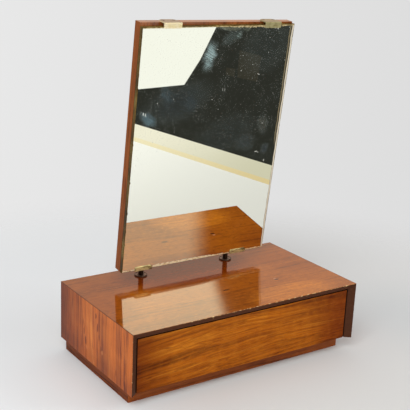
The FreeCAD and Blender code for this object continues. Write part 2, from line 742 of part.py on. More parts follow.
def make_thumb_nut(side):
    """A fluted nut that sets how stiffly the mirror tilts."""
    radius = THUMB_NUT_DIAMETER / 2
    boss = THUMB_NUT_BOSS_DIAMETER / 2
    full = THUMB_NUT_BOSS_HEIGHT + THUMB_NUT_HEIGHT
    bore = PIVOT_BOLT_DIAMETER / 2 + THREAD_GAP
    nut = turned(
        [
            (bore, 0),
            (boss, 0),
            (boss, THUMB_NUT_BOSS_HEIGHT),
            (radius - HARDWARE_CHAMFER, THUMB_NUT_BOSS_HEIGHT),
            (radius, THUMB_NUT_BOSS_HEIGHT + HARDWARE_CHAMFER),
            (radius, full - HARDWARE_CHAMFER),
            (radius - HARDWARE_CHAMFER, full),
            (bore, full),
        ]
    )
    for index in range(THUMB_NUT_FLUTES):
        angle = 2 * math.pi * index / THUMB_NUT_FLUTES
        x = radius * math.cos(angle)
        y = radius * math.sin(angle)
        nut = nut.cut(rod(THUMB_NUT_FLUTE_RADIUS, (x, y, 0), (x, y, full)))
    return placed(nut, (side * (POST_X + EAR_OUTER_X), 0, 0), TO_RIGHT * side)


def make_friction_washers(side):
    """The two fibre washers between a post's eye and the ears."""
    radius = EYE_DIAMETER / 2
    bore = PIVOT_BOLT_DIAMETER / 2 + THREAD_GAP
    washers = []
    for hand in SIDES.values():
        inner = side * POST_X + hand * POST_DIAMETER / 2
        outer = side * POST_X + hand * EAR_INNER_X
        washer = rod(radius, (inner, 0, 0), (outer, 0, 0))
        washers.append(washer.cut(rod(bore, (inner, 0, 0), (outer, 0, 0))))
    return washers


# ---------------------------------------------------------------------------------------------
# Put together
# ---------------------------------------------------------------------------------------------
def build_case():
    """The fixed pieces: case, plinth, runners, batten and posts."""
    outline = case_outline()
    back = make_back_panel()
    bottom = make_bottom_panel()
    batten = make_batten()
    plinth, blocks = plinth_frame()

    reach = INNER_X - BACK_SCREW_INSET
    places = [
        (x, BACK_Y, z)
        for x in spread(-reach, reach, BACK_SCREW_COLUMNS)
        for z in (FLOOR_Z - BACK_REBATE / 2, INNER_TOP_Z + BACK_REBATE / 2)
    ]
    length = BACK_THICKNESS + BACK_SCREW_BITE
    back_screws, back_holes = screws(SMALL_SCREW, length, places, TO_BACK)

    places = [
        (side * POST_X + offset, POST_Y, BATTEN_LOW_Z)
        for side in SIDES.values()
        for offset in (-BATTEN_SCREW_OFFSET, BATTEN_SCREW_OFFSET)
    ]
    length = BATTEN_THICKNESS + BATTEN_SCREW_BITE
    batten_screws, batten_holes = screws(LARGE_SCREW, length, places, DOWN)

    top = make_top_panel().common(outline).cut(back).cut(back_holes).cut(batten_holes)
    for side in SIDES.values():
        top = top.cut(post_hole(side))

    nodes = {
        "top_panel": top,
        "bottom_panel": bottom.cut(back).cut(back_holes),
        "back_panel": back.cut(back_holes),
        "back_panel_screws": back_screws,
        "post_batten": batten.cut(batten_holes),
        "batten_screws": batten_screws,
        "plinth_front_rail": plinth["front"],
        "plinth_left_rail": plinth["left"],
        "plinth_right_rail": plinth["right"],
        "plinth_back_rail": plinth["back"],
        "plinth_corner_blocks": blocks,
    }

    runner_screws = []
    for name, side in SIDES.items():
        inner = side * (INNER_X - RUNNER_WIDTH)
        places = [
            (inner, y, RUNNER_Z + RUNNER_HEIGHT / 2)
            for y in spread(
                RUNNER_FRONT_Y + RUNNER_SCREW_INSET,
                RUNNER_REAR_Y - RUNNER_SCREW_INSET,
                RUNNER_SCREW_COUNT,
            )
        ]
        length = RUNNER_WIDTH + RUNNER_SCREW_BITE
        made, holes = screws(RUNNER_SCREW, length, places, TO_RIGHT * -side)
        runner_screws.append(made)
        panel = make_side_panel(side).common(outline).cut(back).cut(bottom)
        nodes[name + "_side_panel"] = panel.cut(holes)
        nodes["runner_" + name] = make_runner(side).cut(holes)
        nodes["post_" + name] = make_post(side)
        nodes["rosette_" + name] = make_rosette(side)
    nodes["runner_screws"] = Part.makeCompound(runner_screws)
    nodes["post_washers"], nodes["post_nuts"] = make_post_fastenings()
    return nodes


def build_drawer():
    """The sliding pieces."""
    middle_y = DRAWER_BACK_Y + DRAWER_BACK_THICKNESS / 2
    reach = DRAWER_INNER_X - DRAWER_BOTTOM_SCREW_INSET
    places = [(x, middle_y, DRAWER_PLY_Z) for x in spread(-reach, reach, DRAWER_BOTTOM_SCREW_COUNT)]
    length = DRAWER_BOTTOM_THICKNESS + DRAWER_BOTTOM_SCREW_BITE
    bottom_screws, holes = screws(SMALL_SCREW, length, places, DOWN)
    nodes = {
        "drawer_front": make_drawer_front(),
        "drawer_back": make_drawer_back().cut(holes),
        "drawer_bottom": make_drawer_bottom().cut(holes),
        "drawer_bottom_screws": bottom_screws,
    }
    for name, side in SIDES.items():
        nodes["drawer_side_" + name] = make_drawer_side(side)
    return nodes


def build_mirror():
    """The tilting pieces, upright about the tilt axis."""
    nodes = {
        "mirror_card": make_mirror_card(),
        "mirror_glass": make_mirror_glass(),
    }
    board = make_mirror_board()
    left = MIRROR_LEFT_X
    right = MIRROR_RIGHT_X
    clips = {
        "top_left": (left + CLIP_TOP_LEFT_INSET, CLIP_TOP_LEFT_OVERLAP, True),
        "top_right": (right - CLIP_TOP_RIGHT_INSET, CLIP_TOP_RIGHT_OVERLAP, True),
        "bottom_left": (left + CLIP_BOTTOM_LEFT_INSET, CLIP_BOTTOM_OVERLAP, False),
        "bottom_right": (right - CLIP_BOTTOM_RIGHT_INSET, CLIP_BOTTOM_OVERLAP, False),
    }
    clip_screws = []
    for name, (x, overlap, at_top) in clips.items():
        strip, made, holes = make_clip(x, overlap, at_top)
        nodes["clip_" + name] = strip
        clip_screws.append(made)
        board = board.cut(holes)
    bracket_screws = []
    washers = []
    for name, side in SIDES.items():
        bracket, made, holes = make_bracket(side)
        nodes["pivot_bracket_" + name] = bracket
        bracket_screws.append(made)
        washers += make_friction_washers(side)
        board = board.cut(holes)
    nodes["mirror_board"] = board
    nodes["clip_screws"] = Part.makeCompound(clip_screws)
    nodes["bracket_screws"] = Part.makeCompound(bracket_screws)
    nodes["friction_washers"] = Part.makeCompound(washers)
    nodes["pivot_bolts"] = Part.makeCompound([make_pivot_bolt(side) for side in SIDES.values()])
    nodes["thumb_nuts"] = Part.makeCompound([make_thumb_nut(side) for side in SIDES.values()])
    return nodes


def tilted(shape):
    """A mirror piece at its resting tilt, on the posts."""
    seat = FreeCAD.Placement(
        FreeCAD.Vector(0, POST_Y, PIVOT_Z), FreeCAD.Rotation(TO_RIGHT, MIRROR_TILT)
    )
    copy = shape.copy()
    copy.Placement = seat.multiply(copy.Placement)
    return copy


def main():
    nodes = build_case()
    nodes.update(build_drawer())
    for name, shape in build_mirror().items():
        nodes[name] = tilted(shape)
    for name, shape in nodes.items():
        shape.exportStep("parts/" + name + ".step")
    print(len(nodes), "nodes; tilt axis at Y", round(POST_Y, 3), "Z", round(PIVOT_Z, 3))


main()
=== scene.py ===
import math

import bmesh
import bpy
import numpy as np
from mathutils import Matrix, Vector


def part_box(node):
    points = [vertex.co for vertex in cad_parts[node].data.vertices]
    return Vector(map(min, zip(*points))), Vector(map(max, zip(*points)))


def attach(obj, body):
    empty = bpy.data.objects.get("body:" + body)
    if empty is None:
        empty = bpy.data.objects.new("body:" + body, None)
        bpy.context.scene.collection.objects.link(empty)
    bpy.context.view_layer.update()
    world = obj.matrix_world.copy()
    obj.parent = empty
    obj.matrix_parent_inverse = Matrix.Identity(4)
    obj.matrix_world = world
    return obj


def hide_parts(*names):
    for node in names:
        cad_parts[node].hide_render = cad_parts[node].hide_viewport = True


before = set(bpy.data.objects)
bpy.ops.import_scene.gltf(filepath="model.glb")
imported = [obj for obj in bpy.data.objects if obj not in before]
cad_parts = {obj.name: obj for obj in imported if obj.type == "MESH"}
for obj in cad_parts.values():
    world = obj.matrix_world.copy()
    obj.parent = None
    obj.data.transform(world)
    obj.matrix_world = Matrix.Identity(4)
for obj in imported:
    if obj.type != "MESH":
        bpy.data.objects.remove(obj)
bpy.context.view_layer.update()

bl_info = {
    "name": "Vanity box with mirror",
    "version": (1, 0, 0),
    "blender": (4, 5, 0),
    "location": "3D View > Sidebar > Vanity Box",
    "description": "Finishes a lacquered vanity box: case, drawer, tilting mirror and studio",
    "category": "Add Mesh",
}

# -------------------- Sizes read from the frame, in metres --------------------
MM = 0.001
TOP_LOW, TOP_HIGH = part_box("top_panel")
SIDE_X = TOP_HIGH.x
FRONT_Y, BACK_Y = TOP_LOW.y, TOP_HIGH.y
INNER_TOP_Z, TOP_Z = TOP_LOW.z, TOP_HIGH.z
INNER_X = SIDE_X - (TOP_Z - INNER_TOP_Z)
SIDE_FOOT_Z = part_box("left_side_panel")[0].z
CASE_LOW, CASE_HIGH = (-SIDE_X, FRONT_Y, SIDE_FOOT_Z), (SIDE_X, BACK_Y, TOP_Z)
DRAWER_FACE_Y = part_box("drawer_front")[0].y
BACK_PANEL_LOW, BACK_PANEL_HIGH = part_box("back_panel")
MIRROR_LEFT, MIRROR_RIGHT = (corner.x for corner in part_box("mirror_glass"))
POST_X, POST_Y = 0.080, 0.0765

# The upright mirror is measured from the tilt axis
PIVOT = Vector((0.0, POST_Y, 0.269988))
GLASS_HEIGHT = 0.371
GLASS_FOOT = -0.1324
GLASS_BACK = -0.035283
GLASS_FRONT = -0.041283


def shown(red, green, blue):
    """Turns display levels of 0 to 255 into Blender's linear colour."""
    level = np.array([red, green, blue]) / 255
    linear = np.where(level <= 0.04045, level / 12.92, ((level + 0.055) / 1.055) ** 2.4)
    return tuple(float(value) for value in linear)


def number(name, description, value, **more):
    return bpy.props.FloatProperty(name=name, description=description, default=value, **more)


def length(name, description, millimetres):
    return number(name, description, millimetres * MM, min=0, subtype="DISTANCE", unit="LENGTH")


def share(name, description, value, high=1.0):
    return number(name, description, value, min=0, max=high, subtype="FACTOR")


def angle(name, description, degrees):
    return number(name, description, math.radians(degrees), subtype="ANGLE", unit="ROTATION")


def colour(name, description, *levels):
    return bpy.props.FloatVectorProperty(
        name=name, description=description, subtype="COLOR", size=3, min=0, max=1,
        default=shown(*levels),
    )


# -------------------- What a user may change --------------------
class CaseSettings(bpy.types.PropertyGroup):
    """Sizes of the case's veneered panels and of their wear."""

    edge_flat: length("Front edge flat", "Square edge left in front of the bevel", 0.8)
    arris_radius: length("Arris radius", "Softening of the outer arrises", 0.6)
    arris_wear: length("Arris wear", "Width of the even wear along the front arris", 0.58)
    chip_depth: length("Chip depth", "Widest chip along the front arris", 1.1)
    chips_per_metre: bpy.props.IntProperty(
        name="Chips per metre", description="How many chips the front arrises have", default=90,
        min=0,
    )
    bevel_brown: colour("Bevel stain", "Dark stain on the bevelled front edges", 90, 50, 29)
    # Painted shadow in the gap round the drawer: it darkens the front of the inner faces of the top
    # and sides
    bevel_shade: colour("Shadow gap", "Stain on the inner faces by the drawer front", 30, 16, 10)
    chip_cream: colour("Bare wood", "Wood laid bare where the lacquer is chipped", 218, 178, 122)


class VeneerSettings(bpy.types.PropertyGroup):
    """The lacquer, and each wood's colours: dark streak, body and light band."""

    gloss: share("Lacquer", "Weight of the lacquer over the veneers", 1.0)
    gloss_blur: share("Lacquer blur", "Roughness of the lacquer", 0.045)
    top_dark: colour("Top, dark", "Dark streaks of the top veneer", 112, 54, 10)
    top_body: colour("Top, body", "Body colour of the top veneer", 162, 84, 12)
    top_light: colour("Top, light", "Light bands of the top veneer", 184, 102, 20)
    side_dark: colour("Sides, dark", "Dark streaks of the side veneers", 108, 46, 24)
    side_body: colour("Sides, body", "Body colour of the side veneers", 200, 104, 38)
    side_light: colour("Sides, light", "Light bands of the side veneers", 222, 132, 58)
    front_dark: colour("Drawer, dark", "Dark streaks of the drawer's veneer", 110, 52, 12)
    front_body: colour("Drawer, body", "Body colour of the drawer's veneer", 176, 94, 18)
    front_light: colour("Drawer, light", "Light bands of the drawer's veneer", 212, 130, 34)
    plinth_dark: colour("Plinth, dark", "Dark streaks of the plinth", 92, 40, 14)
    plinth_body: colour("Plinth, body", "Body colour of the plinth", 150, 76, 30)
    plinth_light: colour("Plinth, light", "Light bands of the plinth", 182, 98, 42)
    board_dark: colour("Board, dark", "Dark streaks of the mirror board", 92, 44, 18)
    board_body: colour("Board, body", "Body colour of the mirror board", 142, 78, 36)
    board_light: colour("Board, light", "Light bands of the mirror board", 172, 98, 46)
    inner_dark: colour("Inner wood, dark", "Growth lines of the unseen wood", 168, 122, 74)
    inner_body: colour("Inner wood, body", "Body colour of the unseen wood", 206, 168, 116)
    inner_light: colour("Inner wood, light", "Light bands of the unseen wood", 224, 192, 144)


class MirrorSettings(bpy.types.PropertyGroup):
    """Sizes and colours of the mirror glass and of its fittings."""

    tilt: angle("Lean", "How far the mirror leans forward at rest", 6.87)
    chamfer: length("Chamfer", "Ground edge of the glass", 0.8)
    edge_chip: length("Edge chips", "Widest shell chip along the glass edge", 1.3)
    silver: colour("Silver", "Tint of the silvering", 246, 248, 240)
    spoiled: colour("Spoiled silver", "Silvering that has turned along the edges", 164, 144, 98)
    edge_olive: colour("Glass edge", "Olive of the cut glass edge", 84, 62, 20)
    brass: colour("Brass", "Clean brass of the clips", 222, 204, 146)
    tarnish: colour("Tarnish", "Tarnished brass", 120, 108, 62)
    brown_steel: colour("Browned steel", "Dark finish of rods and rosettes", 44, 26, 16)
    plain_steel: colour("Plain steel", "Screws, nuts and brackets", 168, 166, 160)


class StudioSettings(bpy.types.PropertyGroup):
    """Floor, backdrop, lamps and camera."""

    floor_left: colour("Floor, left", "Floor on the camera's left", 232, 234, 235)
    # Painted shadow of the box: the floor is darker in front of the drawer and beside the right side
    floor_front_shaded: colour("Floor, front", "Floor in front of the drawer", 214, 213, 211)
    floor_right_shaded: colour("Floor, right", "Floor beside the right side", 204, 206, 206)
    backdrop_left: colour("Backdrop, left", "Backdrop on the camera's left", 232, 232, 232)
    backdrop_right: colour("Backdrop, right", "Backdrop on the camera's right", 221, 221, 221)
    ambient: share("Ambient", "Even light from all round", 0.78, 2)
    key_power: number("Key lamp", "Large lamp on the left", 42, min=0, unit="POWER")
    fill_power: number("Fill lamp", "Lamp on the right", 14, min=0, unit="POWER")
    focal_length: number(
        "Focal length", "Camera lens on a 36 mm sensor", 80.2, min=1,
        subtype="DISTANCE_CAMERA", unit="CAMERA",
    )
    roll: angle("Camera roll", "Turn of the camera about its line of sight", 2.6)


def figure(veneers, wood):
    """A wood's dark, body and light colours."""
    return [getattr(veneers, f"{wood}_{part}") for part in ("dark", "body", "light")]


# -------------------- Materials --------------------
class Signal:
    """A value that a node gives out. Sums and products of numbers become Math nodes."""

    def __init__(self, finish, socket):
        self.finish, self.socket = finish, socket

    def __add__(self, other):
        return self.finish.calc("ADD", self, other)

    def __sub__(self, other):
        return self.finish.calc("SUBTRACT", self, other)

    def __rsub__(self, other):
        return self.finish.calc("SUBTRACT", other, self)

    def __mul__(self, other):
        return self.finish.calc("MULTIPLY", self, other)

    def __abs__(self):
        return self.finish.calc("ABSOLUTE", self)

    def rise(self, low, high, start=0.0, end=1.0):
        """A smooth rise from start to end while this goes from low to high."""
        inputs = {0: self, 1: low, 2: high, 3: start, 4: end}
        return self.finish.get("MapRange", inputs, interpolation_type="SMOOTHSTEP")


class Finish:
    """The node tree of a material or a world, with short ways to add and join nodes."""

    def __init__(self, name, world=False):
        self.made = (bpy.data.worlds if world else bpy.data.materials).new(name)
        self.made.use_nodes = True
        self.tree = self.made.node_tree
        self.tree.nodes.clear()
        self.coordinates = self.add("TexCoord").outputs
        self.place, self.normal = self.coordinates["Object"], self.coordinates["Normal"]

    def add(self, kind, inputs=None, **options):
        """A new node with its options set and its inputs fed."""
        made = self.tree.nodes.new("ShaderNode" + kind)
        for key, value in options.items():
            setattr(made, key, value)
        for key, value in (inputs or {}).items():
            self.feed(made.inputs[key], value)
        return made

    def get(self, kind, inputs=None, output=0, **options):
        """One output of a new node."""
        return Signal(self, self.add(kind, inputs, **options).outputs[output])

    def feed(self, socket, value):
        value = getattr(value, "socket", value)
        if isinstance(value, bpy.types.NodeSocket):
            self.tree.links.new(value, socket)
        elif socket.type == "RGBA":
            socket.default_value = (*value, 1.0)
        else:
            socket.default_value = value

    def calc(self, operation, first, second=0.0):
        made = self.add("Math", operation=operation)
        for socket, value in zip(made.inputs, (first, second)):
            self.feed(socket, value)
        return Signal(self, made.outputs[0])

    def vector(self, operation, first, second=(0, 0, 0)):
        output = "Value" if operation in ("DOT_PRODUCT", "LENGTH") else "Vector"
        return self.get("VectorMath", {0: first, 1: second}, output, operation=operation)

    def split(self, place):
        """The three numbers of a place or a direction."""
        parts = self.add("SeparateXYZ", {0: place}).outputs
        return [Signal(self, part) for part in parts]

    def turned(self, rotation):
        """Coordinates whose X runs along the grain, in metres."""
        inputs = {"Vector": self.place, "Rotation": rotation}
        return self.get("Mapping", inputs, vector_type="TEXTURE")

    def cloud(self, output, place, along, across, detail, rough, shift):
        """An output of a noise stretched to along metres by across metres."""
        sized = self.get("Mapping", {
            "Vector": place, "Location": (shift, shift * 0.7, shift * 1.3),
            "Scale": (1 / along, 1 / across, 1 / across),
        })
        inputs = {"Vector": sized, "Scale": 1.0, "Detail": detail, "Roughness": rough}
        return self.get("TexNoise", inputs, output)

    def noise(self, place, along, across, detail=3.0, rough=0.5, shift=0.0):
        """Cloudy noise whose patches are along metres by across metres."""
        return self.cloud(0, place, along, across, detail, rough, shift)

    def wandering(self, reach, place, *cloud):
        """A place moved about by a cloud's colours, up to half the reach on each axis."""
        moved = self.vector("SUBTRACT", self.cloud("Color", place, *cloud), (0.5, 0.5, 0.5))
        return self.vector("ADD", place, self.vector("MULTIPLY", moved, reach))

    def near(self, place, spot, radius, turn=0.0, start=1.0, end=0.0):
        """0 to 1 round a spot, as the distance in radii, given for each axis, goes from start
        to end."""
        inputs = {"Vector": place, "Location": spot, "Rotation": (0, 0, turn), "Scale": radius}
        local = self.get("Mapping", inputs, vector_type="TEXTURE")
        return self.vector("LENGTH", local).rise(start, end)

    def mix(self, amount, first, second, how="MIX"):
        inputs = {0: amount, 6: first, 7: second}
        return self.get("Mix", inputs, 2, data_type="RGBA", blend_type=how)

    def ramp(self, value, *stops):
        made = self.add("ValToRGB", {"Fac": value})
        ramp = made.color_ramp
        while len(ramp.elements) < len(stops):
            ramp.elements.new(0.5)
        for element, (position, tone) in zip(ramp.elements, stops):
            element.position = position
            element.color = (*tone, 1.0)
        return made.outputs[0]

    def bump(self, height, distance, strength):
        inputs = {"Height": height, "Distance": distance, "Strength": strength}
        return self.get("Bump", inputs)

    def attribute(self, name, output="Fac"):
        return self.get("Attribute", None, output, attribute_name=name)

    def layer(self, amount, under, over):
        """One shader over another, by an amount from 0 to 1."""
        return self.add("MixShader", {0: amount, 1: under.outputs[0], 2: over.outputs[0]})

    def done(self, shader):
        """The finished material or world, with this shader on it."""
        world = isinstance(self.made, bpy.types.World)
        self.add("OutputWorld" if world else "OutputMaterial", {0: shader.outputs[0]})
        return self.made

    def surface(self, **inputs):
        inputs = {key.replace("_", " "): value for key, value in inputs.items()}
        return self.done(self.add("BsdfPrincipled", inputs))


def grain_turn(direction, lean=0.0):
    """Rotation that lays the grain along X, Y or Z, then leans it about X."""
    about = {
        "X": Matrix.Identity(3),
        "Y": Matrix.Rotation(math.pi / 2, 3, "Z"),
        "Z": Matrix.Rotation(-math.pi / 2, 3, "Y"),
    }[direction]
    return (Matrix.Rotation(lean, 3, "X") @ about).to_euler()


def veneer(
    name, direction, tones, *, lean=0.0, sweep=None, band=0.020, streak=0.0042, contrast=0.9,
    lines=0.3, veins=0.25, haze=(90, 48, 40), haze_amount=0.35, coat=1.0, coat_blur=0.045,
    worn=None, marks=(), light_and_shade_patches=(), shades=(), shift=0.0, edge_dark=None, side_dark=None,
    bare_and_lit_foot=None, dapple=0.0,
):
    """Figured veneer under lacquer. A slow noise and a parabola, whose slopes at the two ends
    are the sweep, bend the grain; a wide and a narrow noise, drawn out along it, choose
    between dark, body and light; contour lines of a third noise make the dark growth lines,
    and the crests of a fine noise the veins; short dashes are pores; a cloudy noise adds the
    purple haze, and a small one dapples it. Shades tint it along a direction, patches of
    painted light and shade tint it in soft round spots, and marks cover small ragged ones.
    The seam attribute darkens it by a mitre, and the worn attribute bares the wood. Faces
    turned aside may take a dark painted shade, and faces turned down a pale bare-wood tone
    that is partly painted light."""
    f = Finish(name)
    dark, body, light = tones
    along = f.turned(grain_turn(direction, lean))
    along = f.wandering((0.0, 0.030, 0.030), along, 0.30, 0.060, 2.0, 0.5, shift + 3.1)
    if sweep:
        start, end = sweep
        x = f.split(along)[0]
        slope = x * ((end - start) / (4 * SIDE_X)) + (start + end) / 2
        along = f.vector("ADD", along, f.get("CombineXYZ", {2: slope * x * -1.0}))
    wide = f.noise(along, 0.60, band, 4.0, 0.58, shift)
    narrow = f.noise(along, 0.24, streak, 3.0, 0.55, shift + 7.7)
    hair = f.noise(along, 0.05, streak * 0.22, 2.0, 0.6, shift + 1.9)
    tone = narrow * 0.42 + wide * 0.46 + hair * 0.12
    base = f.ramp(
        tone, (0.50 - 0.095 / contrast, dark), (0.50 - 0.015 / contrast, body),
        (0.50 + 0.025 / contrast, body), (0.50 + 0.115 / contrast, light),
    )
    contour = f.noise(along, 0.55, band * 1.3, 3.0, 0.5, shift + 5.3)
    line = f.calc("PINGPONG", contour * 13.0, 0.5).rise(0.16, 0.02) * narrow.rise(0.36, 0.56)
    base = f.mix(line * lines, base, dark)
    vein = f.noise(along, 0.16, streak * 0.36, 2.0, 0.5, shift + 15.0)
    base = f.mix(vein.rise(0.54, 0.68) * veins, base, dark)
    cloud = f.noise(along, 0.28, 0.075, 2.0, 0.5, shift + 11.0)
    purple = f.mix(0.55, f.mix(1.0, base, shown(*haze), "MULTIPLY"), shown(*haze))
    base = f.mix(cloud.rise(0.46, 0.68) * haze_amount, base, purple)
    mottle = f.noise(along, 0.018, 0.040, 2.0, 0.5, shift + 2.2)
    base = f.mix(mottle.rise(0.3, 0.7, 0.0, 0.16), base, light)
    pore = f.noise(along, 0.0045, 0.00030, 1.0, 0.5, shift).rise(0.60, 0.72)
    base = f.mix(pore * 0.35, base, dark)
    fine = f.noise(along, 0.009, 0.0035, 3.0, 0.6, shift + 6.1)
    base = f.mix(fine.rise(0.52, 0.68, 0.0, dapple), base, light)
    base = f.mix(fine.rise(0.46, 0.32, 0.0, dapple), base, dark)
    for axis, low, high, tint, amount in shades:
        here = f.vector("DOT_PRODUCT", f.place, axis).rise(low, high, 0.0, amount)
        base = f.mix(here, base, shown(*tint), "MULTIPLY")
    # Soft round patches of painted light and shade, multiplied into the colour
    for spot, radius, tint, amount in light_and_shade_patches:
        here = f.near(f.place, spot, radius).rise(0.0, 0.6, 0.0, amount)
        base = f.mix(here, base, shown(*tint), "MULTIPLY")
    rag = f.noise(f.place, 0.003, 0.003, 3.0, 0.6)
    for spot, radius, tint, amount in marks:
        here = (rag * 0.7 + f.near(f.place, spot, radius)).rise(0.55, 0.85, 0.0, amount)
        base = f.mix(here, base, shown(*tint))
    ripple = f.noise(f.place, 0.006, 0.006, 2.0, 0.5)
    under = f.bump(pore * -0.6 + hair * 0.4, 0.00008, 0.6)
    film = f.bump(pore * -0.25 + ripple, 0.00003, 0.35)
    if edge_dark is not None:
        base = f.mix(f.attribute("seam") * 0.85, base, shown(*edge_dark))
    # Faces turned aside are darkened with a painted shade
    if side_dark is not None:
        turned_away = abs(f.split(f.normal)[1]).rise(0.9, 0.6)
        base = f.mix(turned_away, base, shown(*side_dark))
    # Faces turned down take a pale bare-wood tone that is partly painted light
    if bare_and_lit_foot is not None:
        _, back, up = f.split(f.normal)
        base = f.mix(up.rise(-0.5, -0.8), base, shown(*bare_and_lit_foot))
        ends, front = abs(up).rise(0.5, 0.8), back.rise(-0.5, -0.8)
        coat = f.calc("MAXIMUM", ends, front).rise(0.0, 1.0, coat, 1.0)
    if worn is not None:
        flake = f.noise(f.place, 0.0060, 0.0016, 3.0, 0.6)
        bare = (flake * 0.55 + f.attribute("worn")).rise(0.58, 0.94)
        raw = f.ramp(flake, (0.36, shown(138, 84, 38)), (0.50, worn), (0.7, shown(240, 214, 164)))
        base = f.mix(bare, base, raw)
    return f.surface(
        Base_Color=base, Roughness=tone.rise(0.35, 0.7, 0.50, 0.34), Normal=under,
        Coat_Weight=coat, Coat_Roughness=coat_blur, Coat_IOR=1.5, Coat_Normal=film,
        Specular_IOR_Level=0.0,
    )


def plain_wood(name, direction, tones, *, band=0.012, gloss=0.0, shift=0.0, gap_shadow=None):
    """Straight-grained unfinished wood: growth lines from a drawn-out noise, fine fibres and
    soiled patches; an optional painted shadow darkens what lies in front of the given depth."""
    f = Finish(name)
    dark, body, light = tones
    along = f.turned(grain_turn(direction))
    wide = f.noise(along, 0.5, band, 3.0, 0.5, shift)
    fibre = f.noise(along, 0.02, 0.0007, 2.0, 0.6, shift + 4)
    base = f.ramp(fibre * 0.35 + wide * 0.65, (0.36, dark), (0.48, body), (0.66, light))
    soil = f.noise(f.place, 0.06, 0.06, 4.0, 0.6)
    base = f.mix(soil.rise(0.5, 0.8, 0.0, 0.35), base, dark)
    # Painted shadow in the gap by the drawer front
    if gap_shadow is not None:
        tint, depth = gap_shadow
        ragged = soil * 0.006 + f.split(f.place)[1]
        base = f.mix(ragged.rise(depth + 0.006, depth), base, tint)
    return f.surface(
        Base_Color=base, Roughness=fibre.rise(0.3, 0.7, 0.72, 0.55),
        Normal=f.bump(fibre, 0.00012, 0.6), Coat_Weight=gloss, Coat_Roughness=0.3,
    )


def stained_edge(name, brown, worn):
    """Thin dark stain brushed along a bevel, rubbed paler in places; where the worn attribute
    says so, the wood is bare."""
    f = Finish(name)
    grain = f.noise(f.place, 0.12, 0.0012, 3.0, 0.6)
    rub = f.noise(f.place, 0.010, 0.004, 4.0, 0.65)
    base = f.mix(grain.rise(0.35, 0.7, 0.0, 0.5), brown, darkened(brown, 0.5))
    base = f.mix(rub.rise(0.56, 0.76, 0.0, 0.35), base, shown(108, 66, 40))
    flake = f.noise(f.place, 0.0016, 0.0016, 3.0, 0.6)
    bare = (flake * 0.55 + f.attribute("worn")).rise(0.72, 0.98)
    base = f.mix(bare, base, f.ramp(flake, (0.4, shown(120, 76, 38)), (0.62, worn)))
    return f.surface(
        Base_Color=base, Roughness=rub.rise(0.3, 0.7, 0.66, 0.52),
        Normal=f.bump(grain, 0.0001, 0.5), Specular_IOR_Level=0.15,
    )


def darkened(tone, amount):
    """A colour whose channels are cut to an amount of themselves."""
    return tuple(channel * amount for channel in tone)


def metal(
    name, clean, dull, *, patch=0.004, spread=(0.42, 0.66), rough=(0.22, 0.5), bare=1.0,
    stretch=1, top=None,
):
    """Metal whose clean colour gives way to a dull one in cloudy patches, which may be
    stretched along X, with fine scratches. Under a skin of tarnish it is less than fully bare.
    Faces turned up may take a darker tone, a painted shade."""
    f = Finish(name)
    cloud = f.noise(f.place, patch * stretch, patch, 5.0, 0.62)
    fleck = f.noise(f.place, patch * 0.18, patch * 0.18, 3.0, 0.6)
    line = f.noise(f.turned((0.3, 0.5, 0.8)), 0.010, 0.00022, 2.0, 0.5)
    dirt = (fleck * 0.3 + cloud * 0.7).rise(*spread)
    base = f.mix(dirt, clean, dull)
    # Faces turned up take a darker tone: painted shade
    if top is not None:
        base = f.mix(f.split(f.normal)[2].rise(0.5, 0.9), base, top)
    return f.surface(
        Base_Color=base, Metallic=bare,
        Roughness=line.rise(0.5, 0.7) * 0.04 + dirt.rise(0.0, 1.0, *rough),
        Normal=f.bump(line * 0.5 + cloud, 0.00006, 0.5),
    )


def matt(name, body, fleck_tone):
    """A matt material with small flecks and a slow change of tone."""
    f = Finish(name)
    fleck = f.noise(f.place, 0.0008, 0.0008, 3.0, 0.6)
    slow = f.noise(f.place, 0.03, 0.03, 3.0, 0.5)
    base = f.mix(fleck.rise(0.45, 0.7, 0.0, 0.4), body, fleck_tone)
    base = f.mix(slow.rise(0.4, 0.8, 0.0, 0.2), base, fleck_tone)
    return f.surface(Base_Color=base, Roughness=0.8, Normal=f.bump(fleck, 0.0001, 0.5))


def collar_steel(name, rim, dish, dirt):
    """The rosettes: a dark rim, partly painted shade at the washer's edge; a brighter dish, a
    painted reflection on its top; and a darker tone round the post and in cloudy patches.
    """
    f = Finish(name)
    x, y, _ = f.split(f.place)
    x, y = abs(x) - POST_X, y - POST_Y
    cloud = f.noise(f.place, 0.002, 0.002, 4.0, 0.6)
    radius = cloud * 0.0012 + f.calc("POWER", x * x + y * y, 0.5)
    # A brighter dish, a painted reflection, and a dark rim, partly painted shade
    base = f.mix(radius.rise(0.0062, 0.0076), dirt, dish)
    base = f.mix(radius.rise(0.0088, 0.0094), base, rim)
    base = f.mix(cloud.rise(0.5, 0.7, 0.0, 0.5), base, dirt)
    return f.surface(
        Base_Color=base, Metallic=0.3, Roughness=cloud.rise(0.3, 0.7, 0.28, 0.5),
        Normal=f.bump(cloud, 0.0001, 0.5),
    )


